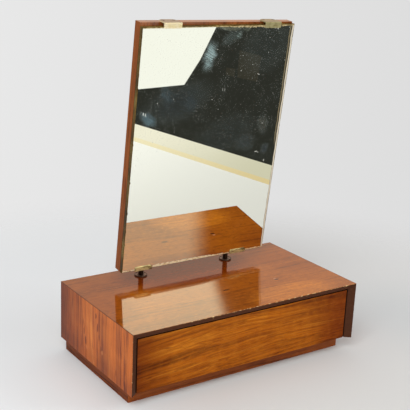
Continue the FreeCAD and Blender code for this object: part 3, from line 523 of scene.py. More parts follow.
# Hazy smears on the glass, in millimetres: middle (x, height), half sizes, turn, tone, strength
SMEARS = (
    ((-60, 260), (60, 30), 0.30, (48, 60, 68), 0.38),
    ((90, 340), (50, 40), 0.40, (46, 54, 56), 0.40),
    ((30, 205), (60, 30), 0.30, (52, 62, 66), 0.28),
    ((-12, 326.5), (12, 23.5), -0.12, (148, 172, 172), 1.00),
    ((34.5, 355), (8.5, 5.2), 0.75, (122, 140, 134), 0.85),
    ((23, 354), (20, 9), 0.50, (72, 84, 82), 0.60),
    ((5.6, 365.8), (8.5, 4), -0.15, (134, 142, 126), 0.75),
    ((47.4, 364.5), (7.5, 4.5), 0.10, (132, 140, 122), 0.70),
    ((23.5, 366.8), (36, 4.4), -0.07, (104, 106, 90), 0.75),
    ((-106, 239), (19, 8.5), -0.65, (100, 128, 138), 0.75),
    ((-79.2, 275), (11, 19), 0.55, (66, 84, 92), 0.65),
    ((100, 217), (11.5, 16.5), 0.25, (84, 86, 80), 0.60),
    ((70, 190), (20, 15), -0.20, (62, 72, 76), 0.50),
    ((-36.4, 259), (14, 19), 0.30, (60, 74, 82), 0.50),
    ((111.5, 175.9), (9, 9), 0.0, (60, 70, 80), 0.50),
)
# Small bright touches, in millimetres: middle, half sizes, strength
TOUCHES = (
    ((-114.9, 247.8), (0.7, 2.6), 1.0), ((-111.3, 246.2), (0.7, 2.6), 0.9),
    ((95, 171.9), (2.6, 0.7), 0.9), ((99, 170.4), (1.4, 0.6), 0.7),
    ((78.6, 297.3), (0.8, 0.7), 0.6), ((81.2, 296), (0.8, 0.7), 0.6),
    ((17, 276.2), (0.6, 2.8), 0.35), ((21, 275.6), (0.6, 2.8), 0.35),
    ((100.7, 365.8), (1.4, 1.0), 1.0), ((105.2, 365), (1.4, 1.4), 1.0),
    ((92, 351.4), (0.7, 0.7), 0.4), ((100.5, 345.9), (0.8, 0.6), 0.35),
    ((112.9, 155.7), (1.2, 2.0), 0.5), ((-83.2, 351), (3.0, 1.6), 0.3),
)
# Specks: cells per metre, radius in cells, how many stay bare, strength, shift
SPECKS = (
    (150, 0.11, 0.97, 1.00, 0.0), (450, 0.24, 0.95, 0.55, 5.0), (800, 0.40, 0.90, 0.30, 9.0),
)
DEEP = 1000.0  # a radius that leaves the depth out of a distance


def spoiled_and_painted_edges(f, plate, rag, spoiled):
    """Amount and tone of what the edges show, from the lowest layer up: lines down the right
    edge, a painted view of the cut edge through the glass with cream lines as painted
    highlights; a dark left rim, a painted view of the dark cut edge; a golden strip of spoiled
    silver along the top; and a cream one along the foot, partly spoiled silver and partly a
    painted highlight on the ground chamfer."""
    x, height, _ = f.split(plate)
    wave = f.noise(plate, 0.05, 0.012, 2.0, 0.5, 3.0)
    # Lines down the right edge: a painted view of the cut edge through the glass, with painted
    # highlights
    across = wave * 0.0022 + (MIRROR_RIGHT - x - 0.0011)
    lines = f.ramp(
        across * 100.0,
        (0.10, shown(96, 82, 56)), (0.18, shown(216, 206, 182)), (0.36, shown(222, 212, 190)),
        (0.44, shown(50, 46, 34)), (0.58, shown(46, 42, 32)), (0.66, shown(136, 124, 92)),
        (0.74, shown(120, 110, 84)),
    )
    lined = (across - height.rise(0.165, 0.195, 0.0042, 0.0078)).rise(0.0005, 0.0)
    # Dark left rim: a painted view of the dark cut edge
    rim = (rag * 0.0010 + (x - MIRROR_LEFT)).rise(0.0014, 0.0010)
    ragged_share = x.rise(0.0, 0.06) * x.rise(0.122, 0.112)
    head_reach = (rag - 0.36) * 0.009 * ragged_share + 0.0019
    strip = (GLASS_HEIGHT - height - head_reach).rise(0.0006, 0.0)
    gold = f.ramp(rag, (0.36, shown(108, 92, 54)), (0.48, spoiled), (0.62, shown(206, 190, 148)))
    foot_wide = x.rise(-0.085, -0.065) * x.rise(0.060, 0.0)
    # Cream foot strip: spoiled silver and a painted highlight on the ground chamfer
    foot = (height - (rag * 0.0040 + (foot_wide * 0.0020 + 0.0004))).rise(0.0004, 0.0)
    cream = f.ramp(
        rag, (0.36, shown(196, 160, 108)), (0.50, shown(238, 214, 172)), (0.66, shown(250, 232, 198))
    )
    cream = f.mix(x.rise(0.03, 0.08, 0.0, 0.5), cream, shown(196, 150, 92))
    return (lined, lines), (rim, shown(66, 52, 26)), (strip, gold), (foot, cream)


def silvered_glass(name, silver, spoiled):
    """Old mirror: clean silver under hazy smears, wiping streaks and pin-prick specks, with
    spoiled edges, and along them painted views of the cut edge and painted highlights. Widths
    and heights are read from the glass's own plate attribute, in metres."""
    f = Finish(name)
    plate = f.attribute("plate", "Vector")
    height = f.split(plate)[1]
    rag = f.noise(plate, 0.0045, 0.0045, 4.0, 0.62)
    slow = f.noise(plate, 0.035, 0.035, 3.0, 0.5)

    def patch(place, middle, half, *shape):
        middle, half = ([value * MM for value in pair] for pair in (middle, half))
        return f.near(place, (*middle, 0), (*half, DEEP), *shape)

    streak = f.noise(f.get("Mapping", {"Vector": plate, "Rotation": (0, 0, 0.5)}),
                     0.03, 0.0016, 4.0, 0.65).rise(0.34, 0.62, 0.25, 1.0)
    wipe = f.noise(plate, 0.0012, 0.030, 3.0, 0.6, 2.0).rise(0.35, 0.65, 0.3, 1.4)
    warped = f.wandering((0.016, 0.016, 0.0), plate, 0.012, 0.012, 3.0, 0.6, 9.0)
    veil_tone = shown(108, 118, 116)
    veil = slow.rise(0.42, 0.75, 0.0, 0.05) * height.rise(0.10, 0.18, 0.1, 1.0) * wipe
    for middle, half, turn, tint, strength in SMEARS:
        smear = patch(warped, middle, half, turn, 1.25, 0.25)
        veil_tone = f.mix(smear, veil_tone, shown(*tint))
        veil = f.calc("MAXIMUM", smear * streak * strength, veil)

    dusty = slow.rise(0.40, 0.56, 0.4, 1.0) * height.rise(0.14, 0.21, 0.06, 1.0)
    dots = 0.0
    for per_metre, size, bare, strength, shift in SPECKS:
        scale = (per_metre, per_metre, 0)
        cells = f.get("Mapping", {"Vector": plate, "Location": (shift, 0, 0), "Scale": scale})
        speck = f.add("TexVoronoi", {"Vector": cells, "Scale": 1.0}, voronoi_dimensions="2D")
        dot = Signal(f, speck.outputs["Distance"]).rise(size, size / 3, 0.0, strength)
        chosen = f.get("SeparateColor", {0: speck.outputs["Color"]}).rise(bare, bare + 0.02)
        dots = f.calc("MAXIMUM", dot * chosen * dusty, dots)
    for middle, half, strength in TOUCHES:
        dots = f.calc("MAXIMUM", patch(plate, middle, half, 0.0, 1.2, 0.6) * strength, dots)

    mirror = f.add("BsdfPrincipled", {"Base Color": silver, "Metallic": 1.0, "Roughness": 0.012})
    haze = f.add("BsdfDiffuse", {"Color": f.mix(veil, (0.0, 0.0, 0.0), veil_tone)})
    stack = f.add("AddShader", {0: mirror.outputs[0], 1: haze.outputs[0]})
    pin = f.add("BsdfPrincipled", {"Base Color": shown(222, 224, 212), "Roughness": 0.5})
    stack = f.layer(dots, stack, pin)
    flaked = f.bump(rag, 0.0002, 0.5)
    # Edge layers: spoiled silver, painted views of the cut edge and painted highlights
    for amount, tone in spoiled_and_painted_edges(f, plate, rag, spoiled):
        flake = f.add("BsdfPrincipled", {
            "Base Color": tone, "Roughness": 0.4, "Specular IOR Level": 0.3, "Normal": flaked,
        })
        stack = f.layer(amount, stack, flake)
    return f.done(stack)


def cut_glass(name, olive):
    """Cut edge of old glass: dark olive, glossy, with paler streaks along it that are partly
    grinding marks and partly painted highlights.
    """
    f = Finish(name)
    grind = f.noise(f.place, 0.004, 0.0010, 4.0, 0.65)
    slow = f.noise(f.place, 0.03, 0.03, 2.0, 0.5)
    # The palest stops are partly painted highlights
    base = f.ramp(
        grind * 0.5 + slow * 0.5, (0.38, darkened(olive, 0.3)), (0.50, olive),
        (0.58, shown(116, 96, 44)), (0.68, shown(176, 158, 100)),
    )
    return f.surface(
        Base_Color=base, Roughness=grind.rise(0.3, 0.7, 0.12, 0.4), Coat_Weight=0.08,
        Coat_Roughness=0.05, Normal=f.bump(grind, 0.0001, 0.4), Specular_IOR_Level=0.1,
    )


def dress(material, *nodes):
    """Gives CAD nodes a finish by way of their material slots."""
    for name in nodes:
        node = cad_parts[name]
        if not node.material_slots:
            node.data.materials.append(material)
        for slot in node.material_slots:
            slot.material = material


# -------------------- Shapes --------------------
# Where points lie beside a worn arris, and the chips and waves of the wear, in millimetres
WEAR_STEPS = np.array([0.0, 0.12, 0.25, 0.4, 0.55, 0.75, 1.0, 1.3, 1.7, 2.2, 3.0, 4.5]) * MM
CHIP_HALF_LENGTHS, WAVE_PITCHES, WAVES = (0.5, 3.2), (1.2, 14), 14
# Finish of each run of a panel's outline: 0 veneer, 1 stained edge, 2 plain inner face
RUN_FINISHES = (1, 1, 2, 2, 2, 0, 0)
SHADOW_GAP_TO_Y = -0.086  # how far back the painted shadow on the panels' inner faces reaches
TOP_SEED, SIDE_SEEDS, GLASS_SEED = 11, {"left": 23, "right": 37}, 71
TOP_SEAM, SIDE_SEAM = 1.1 * MM, 0.7 * MM  # half widths of the dark mitre seams
SIDE_CHIPS, SIDE_WEAR = 0.8, 0.7  # chips and even wear of the sides, as shares of the top's
# How thickly the top's front arris is chipped: places along it from 0 to 1, share of chips
TOP_EDGE_WEAR = (
    (0.00, 0.275, 0.325, 0.50, 0.55, 0.725, 0.75, 0.825, 0.875, 1.00),
    (0.20, 0.25, 1.00, 1.00, 0.35, 0.35, 1.00, 1.00, 0.50, 0.70),
)
# The same for the side panels' front arrises, from the foot up
SIDE_EDGE_WEAR = ((0.00, 0.50, 0.70, 1.00), (1.00, 0.80, 0.25, 0.30))


def outline(corners):
    """Points round a panel's closed outline of straight runs. Next to its first corner, the
    worn arris, they lie at the wear steps from it; elsewhere only the corners count. Returns
    the points, how far each lies from the arris, and the number of its run's finish."""
    corners = np.asarray(corners, float)
    last = len(corners) - 1
    points, finish = [], []
    for i, start in enumerate(corners):
        end = corners[0 if i == last else i + 1]
        span = np.linalg.norm(end - start)
        ahead = (end - start) / span
        at = WEAR_STEPS[WEAR_STEPS < span * 0.9] if i == 0 else np.zeros(1)
        if i == last:
            back = (span - WEAR_STEPS[1:])[::-1]
            at = np.concatenate([at, back[back > 0.05 * MM]])
        points.append(start + at[:, None] * ahead)
        finish.append(np.full(len(at), RUN_FINISHES[i]))
    points = np.concatenate(points)
    return points, np.linalg.norm(points - corners[0], axis=1), np.concatenate(finish)


def chipped(along, seed, per_metre, even, widest, busy=None):
    """Width of the wear along an arris: an even band that wavers as a sum of sines, and over
    it the widest of many chips, each a parabola over its own span. Busy gives places from 0
    to 1 and the share of chips kept there."""
    draw = np.random.default_rng(seed)
    low, high = along.min(), along.max()
    count = max(int(per_metre * (high - low)), 1)
    middle = draw.uniform(low, high, count)
    if busy is not None:
        middle = middle[draw.random(count) < np.interp((middle - low) / (high - low), *busy)]
        count = len(middle)
    half = draw.uniform(*CHIP_HALF_LENGTHS, count) * MM
    wide = widest * draw.beta(1.4, 2.2, count)
    bowl = 1 - ((along[:, None] - middle) / half) ** 2
    chips = np.max(np.clip(bowl, 0, 1) ** 0.7 * wide, axis=1)
    pitch = draw.uniform(*WAVE_PITCHES, WAVES) * MM
    turn = draw.uniform(0, 2 * math.pi, WAVES)
    waver = np.sin(2 * math.pi * along[:, None] / pitch + turn).mean(axis=1)
    return np.maximum(even * (0.75 + 1.6 * waver), chips).clip(0)


def rounded_into(points, low, high, radius):
    """Softens the arrises of a box: a point outside the box shrunk by the radius is drawn back
    to lie one radius from it."""
    inner = np.clip(points, np.asarray(low) + radius, np.asarray(high) - radius)
    away = points - inner
    distance = np.linalg.norm(away, axis=-1, keepdims=True)
    pulled = inner + away * (radius / np.maximum(distance, 1e-12))
    return np.where(distance > radius, pulled, points)


def stations(low, high, pitch, fine, fine_reach):
    """Places along a run, closer together near both ends."""
    ends = np.arange(0, fine_reach, fine)
    middle = np.arange(low + fine_reach, high - fine_reach, pitch)
    return np.concatenate([low + ends, middle, (high - ends)[::-1]])


def skin(name, grid, materials, band, attributes, sharp=35):
    """A closed skin over a grid of points [round, along]: a quad between each four
    neighbours, closed round the first direction, and one flat face over each end. The band
    gives the material's number for each run of quads, and the ends have the first one."""
    around, along = grid.shape[:2]
    index = np.arange(around * along).reshape(around, along)
    beyond = np.roll(index, -1, axis=0)
    quads = np.stack([index[:, :-1], beyond[:, :-1], beyond[:, 1:], index[:, 1:]], axis=-1)
    faces = quads.reshape(-1, 4).tolist() + [index[::-1, 0].tolist(), index[:, -1].tolist()]
    mesh = bpy.data.meshes.new(name)
    mesh.from_pydata(grid.reshape(-1, 3).tolist(), [], faces)
    for key, values in attributes.items():
        values = np.asarray(values, np.float32)
        kind, field = ("FLOAT", "value") if values.ndim == 2 else ("FLOAT_VECTOR", "vector")
        layer = mesh.attributes.new(key, kind, "POINT")
        layer.data.foreach_set(field, values.ravel())
    for material in materials:
        mesh.materials.append(material)
    slots = np.append(np.repeat(band, along - 1), [0, 0]).astype(np.int32)
    mesh.polygons.foreach_set("material_index", slots)
    edit = bmesh.new()
    edit.from_mesh(mesh)
    bmesh.ops.recalc_face_normals(edit, faces=edit.faces)
    edit.to_mesh(mesh)
    edit.free()
    mesh.shade_smooth()
    mesh.set_sharp_from_angle(angle=math.radians(sharp))
    mesh.validate()
    piece = bpy.data.objects.new(name, mesh)
    bpy.context.scene.collection.objects.link(piece)
    return piece


def panel(name, grid, reach, finish, width, inward, seam, radius, materials):
    """Skin of a panel with a worn front arris: a 45 degree facet of the given width is cut
    along it, by moving each point that is nearer to the arris than that inward on to the
    facet. The outer arrises are then softened. Two attributes say how bare the wood is, 1 in
    a chip and 0 where the lacquer is whole, and how near the mitre's seam is."""
    fringe, bare_width = 0.25 * MM, 0.9 * MM
    inside = width - reach[:, None]
    depth = np.clip(inside, 0, None) / math.sqrt(2)
    grid = grid + depth[..., None] * (np.asarray(inward) * math.sqrt(0.5))
    worn = np.clip(inside / fringe + 0.5, 0, 1) * np.clip(width / bare_width, 0, 1)
    attributes = {"worn": worn, "seam": np.broadcast_to(seam, worn.shape)}
    grid = rounded_into(grid, CASE_LOW, CASE_HIGH, radius)
    return skin(name, grid, materials, finish, attributes)


def leant(points, lean):
    """Points of the upright mirror, about its pivot, leant forward into their place."""
    turn = np.array(Matrix.Rotation(lean, 3, "X"))
    return points @ turn.T + np.array(PIVOT)


# -------------------- Pieces --------------------
class Undoable:
    """What all the operators share: each can be undone."""

    bl_options = {"REGISTER", "UNDO"}


class VANITY_OT_top_panel(Undoable, bpy.types.Operator):
    """Veneered top: its outline is carried along X to the mitres, then the front arris is
    chipped and the outer arrises are softened"""

    bl_idname = "vanity.top_panel"
    bl_label = "Top panel"

    def execute(self, context):
        case, tone = context.scene.vanity_case, context.scene.vanity_veneers
        rebate_y, rebate_z = BACK_PANEL_LOW.y, BACK_PANEL_HIGH.z
        points, reach, finish = outline([
            (FRONT_Y, TOP_Z), (FRONT_Y, TOP_Z - case.edge_flat), (DRAWER_FACE_Y, INNER_TOP_Z),
            (rebate_y, INNER_TOP_Z), (rebate_y, rebate_z), (BACK_Y, rebate_z), (BACK_Y, TOP_Z),
        ])
        run = stations(-1.0, 1.0, pitch=0.0024, fine=0.0005, fine_reach=0.006)
        half = INNER_X + (points[:, 1] - INNER_TOP_Z)
        grid = np.empty((len(points), len(run), 3))
        grid[..., 0] = half[:, None] * run
        grid[..., 1:] = points[:, None, :]
        width = chipped(run * SIDE_X, TOP_SEED, case.chips_per_metre, case.arris_wear,
                        case.chip_depth, TOP_EDGE_WEAR)
        least, grows_from, whole_from = 0.45, -0.8, -0.4
        width *= np.interp(run, (grows_from, whole_from), (least, 1.0))
        seam = np.exp(-((1 - np.abs(run)) * SIDE_X / TOP_SEAM) ** 2)
        wood = veneer(
            "top_veneer", "X", figure(tone, "top"), coat=tone.gloss, coat_blur=tone.gloss_blur,
            worn=case.chip_cream, haze=(98, 48, 26), haze_amount=0.40, edge_dark=(58, 22, 8),
            lines=0.18, veins=0.15, contrast=0.80, dapple=0.45,
            # Painted light and shade: the first three patches are painted shade at the rear of the
            # top, the mirror's shadow across the middle and fainter shade towards both ends; the
            # last, with levels past 255, is a painted pool of light on the front right
            light_and_shade_patches=(
                ((-0.0150, 0.0650, TOP_Z), (0.2000, 0.0950, 0.050), (193, 158, 170), 1.0),
                ((-0.1900, 0.0300, TOP_Z), (0.0750, 0.1600, 0.050), (193, 158, 170), 0.5),
                ((0.1750, 0.0500, TOP_Z), (0.0900, 0.1200, 0.050), (193, 158, 170), 0.4),
                ((0.0900, -0.0880, TOP_Z), (0.1100, 0.0480, 0.050), (313, 337, 360), 0.7),
            ),
            # The first two marks paint a dent: a painted highlight on its lit edge and its painted
            # shadow; the last two are dark marks
            marks=(
                ((0.0985, -0.0325, TOP_Z), (0.0050, 0.0024, 0.004), (214, 150, 108), 0.60),
                ((0.0985, -0.0370, TOP_Z), (0.0080, 0.0034, 0.004), (74, 30, 10), 0.90),
                ((0.0530, -0.0301, TOP_Z), (0.0064, 0.0040, 0.004), (96, 48, 16), 0.40),
                ((0.0022, -0.0366, TOP_Z), (0.0100, 0.0032, 0.004), (84, 38, 10), 0.85),
            ),
        )
        edge = stained_edge("bevel_stain", case.bevel_brown, case.chip_cream)
        # Its inner face carries a painted shadow by the drawer front
        within = plain_wood("top_inner_face", "X", figure(tone, "inner"),
                            gap_shadow=(case.bevel_shade, SHADOW_GAP_TO_Y))
        piece = panel("top_panel_veneered", grid, reach, finish, width, (0, 1, -1), seam,
                      case.arris_radius, (wood, edge, within))
        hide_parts("top_panel")
        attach(piece, "case")
        return {"FINISHED"}


class VANITY_OT_side_panels(Undoable, bpy.types.Operator):
    """Veneered sides: each outline is carried up from the foot to the mitre, then its front
    arris is chipped and the outer arrises are softened"""

    bl_idname = "vanity.side_panels"
    bl_label = "Side panels"

    def execute(self, context):
        case, tone = context.scene.vanity_case, context.scene.vanity_veneers
        # The side bevels take the bevel stain made darker, a painted shade
        edge = stained_edge("side_bevel_stain", darkened(case.bevel_brown, 0.75), case.chip_cream)
        # Their inner faces carry a painted shadow by the drawer front
        within = plain_wood("side_inner_face", "Z", figure(tone, "inner"),
                            gap_shadow=(case.bevel_shade, SHADOW_GAP_TO_Y))
        rebate_x, rebate_y = BACK_PANEL_HIGH.x, BACK_PANEL_LOW.y
        for name, side, chip_size in (("left", -1, 0.5), ("right", 1, 0.75)):
            seed = SIDE_SEEDS[name]
            points, reach, finish = outline([
                (side * SIDE_X, FRONT_Y), (side * (SIDE_X - case.edge_flat), FRONT_Y),
                (side * INNER_X, DRAWER_FACE_Y), (side * INNER_X, rebate_y),
                (side * rebate_x, rebate_y), (side * rebate_x, BACK_Y), (side * SIDE_X, BACK_Y),
            ])
            run = stations(0.0, 1.0, pitch=0.0055, fine=0.0012, fine_reach=0.012)
            rise = INNER_TOP_Z + (np.abs(points[:, 0]) - INNER_X) - SIDE_FOOT_Z
            grid = np.empty((len(points), len(run), 3))
            grid[..., :2] = points[:, None, :]
            grid[..., 2] = SIDE_FOOT_Z + rise[:, None] * run
            width = chipped(
                run * (TOP_Z - SIDE_FOOT_Z), seed, case.chips_per_metre * SIDE_CHIPS,
                case.arris_wear * SIDE_WEAR, case.chip_depth * chip_size, SIDE_EDGE_WEAR,
            )
            seam = np.exp(-((1 - run) * rise.max() / SIDE_SEAM) ** 2)
            face = side * SIDE_X
            wood = veneer(
                f"{name}_side_veneer", "Z", figure(tone, "side"), coat=tone.gloss * 0.5,
                coat_blur=0.10, worn=case.chip_cream, shift=20.0 + seed, band=0.016,
                streak=0.0036, haze=(112, 62, 56), haze_amount=0.55, lines=0.5, veins=0.5,
                edge_dark=(60, 24, 12),
                shades=(
                    ((0, 1, 0), 0.015, 0.085, (184, 164, 176), 1.0),
                    ((0, 0, -1), -0.065, -0.028, (220, 210, 212), 0.8),
                ),
                marks=(
                    ((face, -0.0100, 0.0850), (0.004, 0.0026, 0.0110), (96, 40, 20), 0.80),
                    ((face, -0.0045, 0.1010), (0.004, 0.0030, 0.0075), (88, 36, 18), 0.75),
                    ((face, -0.0150, 0.0720), (0.004, 0.0020, 0.0090), (92, 40, 20), 0.70),
                    ((face, -0.0205, 0.0560), (0.004, 0.0030, 0.0070), (104, 48, 24), 0.60),
                    ((face, -0.0240, 0.0520), (0.004, 0.0022, 0.0060), (224, 140, 76), 0.60),
                    ((face, 0.0270, 0.0510), (0.004, 0.0030, 0.0110), (82, 34, 20), 0.75),
                    ((face, 0.0320, 0.0640), (0.004, 0.0024, 0.0100), (88, 38, 22), 0.60),
                    ((face, 0.0230, 0.0420), (0.004, 0.0026, 0.0060), (214, 128, 66), 0.50),
                ),
            )
            piece = panel(
                f"{name}_side_veneered", grid, reach, finish, width, (-side, 1, 0), seam,
                case.arris_radius, (wood, edge, within),
            )
            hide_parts(f"{name}_side_panel")
            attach(piece, "case")
        return {"FINISHED"}


class VANITY_OT_carcass(Undoable, bpy.types.Operator):
    """Finishes the plinth and the unseen wood of the case"""

    bl_idname = "vanity.carcass"
    bl_label = "Plinth and carcass"

    def execute(self, context):
        plinth = figure(context.scene.vanity_veneers, "plinth")
        look = {"coat": 0.35, "coat_blur": 0.25, "haze_amount": 0.2, "band": 0.010}
        along = veneer("plinth_along", "X", plinth, shift=41.0, **look)
        # The side rails are made darker all over than the front and back rails: painted shade
        across = veneer("plinth_across", "Y", plinth, shift=47.0,
                        shades=(((0, 0, 1), -1.0, -0.9, (206, 196, 190), 1.0),), **look)
        dress(along, "plinth_front_rail", "plinth_back_rail")
        dress(across, "plinth_left_rail", "plinth_right_rail")
        inner = figure(context.scene.vanity_veneers, "inner")
        dress(plain_wood("inner_along", "X", inner), "bottom_panel", "post_batten")
        dress(plain_wood("inner_across", "Y", inner, shift=5.0), "runner_left", "runner_right")
        dress(plain_wood("inner_blocks", "Z", inner, shift=9.0), "plinth_corner_blocks")
        ply = (shown(128, 84, 46), shown(164, 116, 70), shown(186, 138, 88))
        dress(plain_wood("back_ply", "X", ply, gloss=0.1, shift=13.0), "back_panel")
        return {"FINISHED"}


class VANITY_OT_drawer(Undoable, bpy.types.Operator):
    """Finishes the drawer: figured veneer in front, plain wood and thin ply behind"""

    bl_idname = "vanity.drawer"
    bl_label = "Drawer"

    def execute(self, context):
        front = veneer(
            "drawer_veneer", "X", figure(context.scene.vanity_veneers, "front"), shift=63.0,
            sweep=(0.100, -0.010), band=0.015, streak=0.0040, coat=0.12, coat_blur=0.16,
            # The edge faces, which sit in the gap round the drawer, take a dark painted shade
            haze=(120, 54, 20), haze_amount=0.4, lines=0.6, veins=0.5, side_dark=(54, 30, 20),
            dapple=0.15,
            shades=(
                ((-1, 0, 0), 0.110, 0.192, (180, 156, 160), 1.0),
                ((1, 0, 0), 0.100, 0.180, (204, 178, 176), 1.0),
            ),
            marks=(((-0.0041, FRONT_Y, 0.0427), (0.007, 0.012, 0.006), (126, 62, 22), 0.6),),
        )
        dress(front, "drawer_front")
        inner = figure(context.scene.vanity_veneers, "inner")
        side = plain_wood("drawer_side_wood", "Y", inner, shift=17.0)
        dress(side, "drawer_side_left", "drawer_side_right")
        dress(plain_wood("drawer_back_wood", "X", inner, shift=21.0), "drawer_back")
        ply = (shown(176, 132, 84), shown(208, 170, 120), shown(222, 190, 142))
        dress(plain_wood("drawer_ply", "X", ply, band=0.02, shift=29.0), "drawer_bottom")
        return {"FINISHED"}


class VANITY_OT_mirror_glass(Undoable, bpy.types.Operator):
    """Mirror glass: a rectangle's outline is stepped through the ground chamfer to the back,
    with shell chips along the chamfer; both faces are flat"""

    bl_idname = "vanity.mirror_glass"
    bl_label = "Mirror glass"

    def execute(self, context):
        mirror = context.scene.vanity_mirror
        pitch = 1.0 * MM
        chips_per_metre, even_wear, deepest = 60, 0.12 * MM, 4 * MM
        half, half_height = (MIRROR_RIGHT - MIRROR_LEFT) / 2, GLASS_HEIGHT / 2
        across, upward = (
            np.linspace(-reach, reach, int(2 * reach / pitch) + 1)[:-1]
            for reach in (half, half_height)
        )
        x = np.concatenate([across, 0 * upward + half, -across, 0 * upward - half])
        h = np.concatenate([0 * across - half_height, upward, 0 * across + half_height, -upward])
        wear = chipped(np.arange(len(x)) * pitch, GLASS_SEED, chips_per_metre, even_wear,
                       mirror.edge_chip)
        inset = mirror.chamfer + wear
        depth = np.minimum(mirror.chamfer + wear * 0.8, deepest)
        rings, plates = [], []
        for gap, back in (
            (inset, 0 * depth), (0.45 * inset, 0.42 * depth), (0 * inset, depth),
            (0 * inset, 0 * depth + (GLASS_BACK - GLASS_FRONT)),
        ):
            px = np.clip(x, gap - half, half - gap) + MIRROR_LEFT + half
            ph = np.clip(h, gap - half_height, half_height - gap) + half_height
            rings.append(np.stack([px, GLASS_FRONT + back, GLASS_FOOT + ph], axis=-1))
            plates.append(np.stack([px, ph, back], axis=-1))
        silver = silvered_glass("mirror_silver", mirror.silver, mirror.spoiled)
        olive = cut_glass("glass_edge", mirror.edge_olive)
        piece = skin(
            "mirror_glass_plate", leant(np.stack(rings, axis=1), mirror.tilt), (silver, olive),
            np.ones(len(x)), {"plate": np.stack(plates, axis=1)}, sharp=20,
        )
        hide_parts("mirror_glass")
        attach(piece, "mirror")
        return {"FINISHED"}


class VANITY_OT_mirror_board(Undoable, bpy.types.Operator):
    """Finishes the board behind the glass and the card between them"""

    bl_idname = "vanity.mirror_board"
    bl_label = "Mirror board"

    def execute(self, context):
        wood = veneer(
            "board_veneer", "Z", figure(context.scene.vanity_veneers, "board"),
            lean=context.scene.vanity_mirror.tilt, coat=0.25, coat_blur=0.12, shift=83.0,
            # The board's foot takes a pale bare-wood tone, partly painted light
            band=0.024, haze_amount=0.4, bare_and_lit_foot=(236, 212, 172),
        )
        dress(wood, "mirror_board")
        dress(matt("black_card", shown(24, 22, 22), shown(58, 52, 48)), "mirror_card")
        return {"FINISHED"}


class VANITY_OT_clips(Undoable, bpy.types.Operator):
    """Finishes the four bent brass clips"""

    bl_idname = "vanity.clips"
    bl_label = "Glass clips"

    def execute(self, context):
        mirror = context.scene.vanity_mirror
        # The top clips' upward faces take a darker tone, a painted shade
        pale = metal("pale_brass", shown(240, 226, 190), mirror.brass, patch=0.008, bare=0.25,
                     rough=(0.32, 0.45), top=shown(150, 134, 112))
        dull = metal("dull_brass", shown(172, 164, 120), mirror.tarnish, patch=0.006, bare=0.35,
                     rough=(0.35, 0.5), spread=(0.44, 0.70), top=shown(150, 140, 108))
        gold = metal("old_brass", mirror.brass, shown(92, 74, 26), patch=0.0022, bare=0.45,
                     rough=(0.25, 0.45), spread=(0.44, 0.58), stretch=4)
        dress(pale, "clip_top_left")
        dress(dull, "clip_top_right")
        dress(gold, "clip_bottom_left", "clip_bottom_right")
        return {"FINISHED"}


class VANITY_OT_posts(Undoable, bpy.types.Operator):
    """Finishes the two rods and their rosettes"""

    bl_idname = "vanity.posts"
    bl_label = "Posts"

    def execute(self, context):
        brown = metal("browned_steel", context.scene.vanity_mirror.brown_steel,
                      shown(70, 42, 26), patch=0.010, rough=(0.32, 0.5), bare=0.6)
        dress(brown, "post_left", "post_right")
        # A dark rim, partly painted shade, a brighter dish, a painted reflection, and a darker tone
        # round the post
        rim, dish, dirt = shown(86, 60, 46), shown(150, 120, 102), shown(60, 38, 28)
        dress(collar_steel("rosette_steel", rim, dish, dirt), "rosette_left", "rosette_right")
        return {"FINISHED"}


class VANITY_OT_hardware(Undoable, bpy.types.Operator):
    """Finishes hinges, nuts, washers and screws"""

    bl_idname = "vanity.hardware"
    bl_label = "Hinges and screws"

    def execute(self, context):
        mirror = context.scene.vanity_mirror
        steel = metal("plain_steel", mirror.plain_steel, shown(104, 100, 92), patch=0.008)
        brass = metal("hinge_brass", mirror.brass, mirror.tarnish, patch=0.009)
        fibre = matt("red_fibre", shown(122, 44, 30), shown(160, 84, 60))
        dark = metal("browned_screws", shown(96, 78, 52), shown(52, 38, 24), patch=0.003)
        dress(steel, "post_washers", "post_nuts", "back_panel_screws", "batten_screws",
              "runner_screws", "drawer_bottom_screws")
        dress(dark, "clip_screws")
        dress(brass, "pivot_bracket_left", "pivot_bracket_right", "bracket_screws",
              "pivot_bolts", "thumb_nuts")
        dress(fibre, "friction_washers")
        return {"FINISHED"}


# -------------------- Studio --------------------
CAMERA_PLACE = Vector((-0.7576, -1.0676, 0.6270))
CAMERA_AIM = Vector((0.54586, 0.78776, -0.28545))
SIDEWAYS = (0.822, -0.570, 0.0)
INTO_THE_MIRROR = (0.434, 0.901, 0.0)
# The table's far edge and the tape on it, as the mirror shows them: two points on each line
TABLE_EDGE = ((0.327, -0.685), (0.536, -0.423))
TAPE_OUTER = ((0.286, -0.621), (0.485, -0.361))
TAPE_INNER = ((0.275, -0.601), (0.470, -0.342))
BEYOND_THE_TABLE = np.array([0.782, -0.624]) * 8.0
FLOOR_RADIUS = 6.0
# Heights of the sheets that the mirror shows, one a little above the other
LOWER_SHEETS, UPPER_SHEETS = 1.0 * MM, 2.0 * MM
# Outlines of a white reflector, and of the door and foot of a dark cabinet
REFLECTOR = (
    (0.100, -0.853), (0.451, -0.883), (0.588, -0.892), (0.745, -1.058), (0.985, -1.332),
    (1.300, -1.720), (0.600, -1.900), (0.100, -1.500),
)
CABINET_DOOR = ((0.932, -1.121), (0.978, -1.067), (0.827, -0.880), (0.784, -0.919))
CABINET_FOOT = ((0.796, -0.994), (0.820, -0.980), (0.777, -0.924), (0.759, -0.941))


def sheet(name, points, faces, material):
    """A piece of the studio, from its points and faces."""
    mesh = bpy.data.meshes.new(name)
    mesh.from_pydata([tuple(map(float, point)) for point in points], [], faces)
    mesh.materials.append(material)
    made = bpy.data.objects.new(name, mesh)
    bpy.context.scene.collection.objects.link(made)
    return made


def flat(name, edge, height, material):
    """One level face from the points of its edge."""
    points = [(*point, height) for point in edge]
    return sheet(name, points, [tuple(range(len(points)))], material)


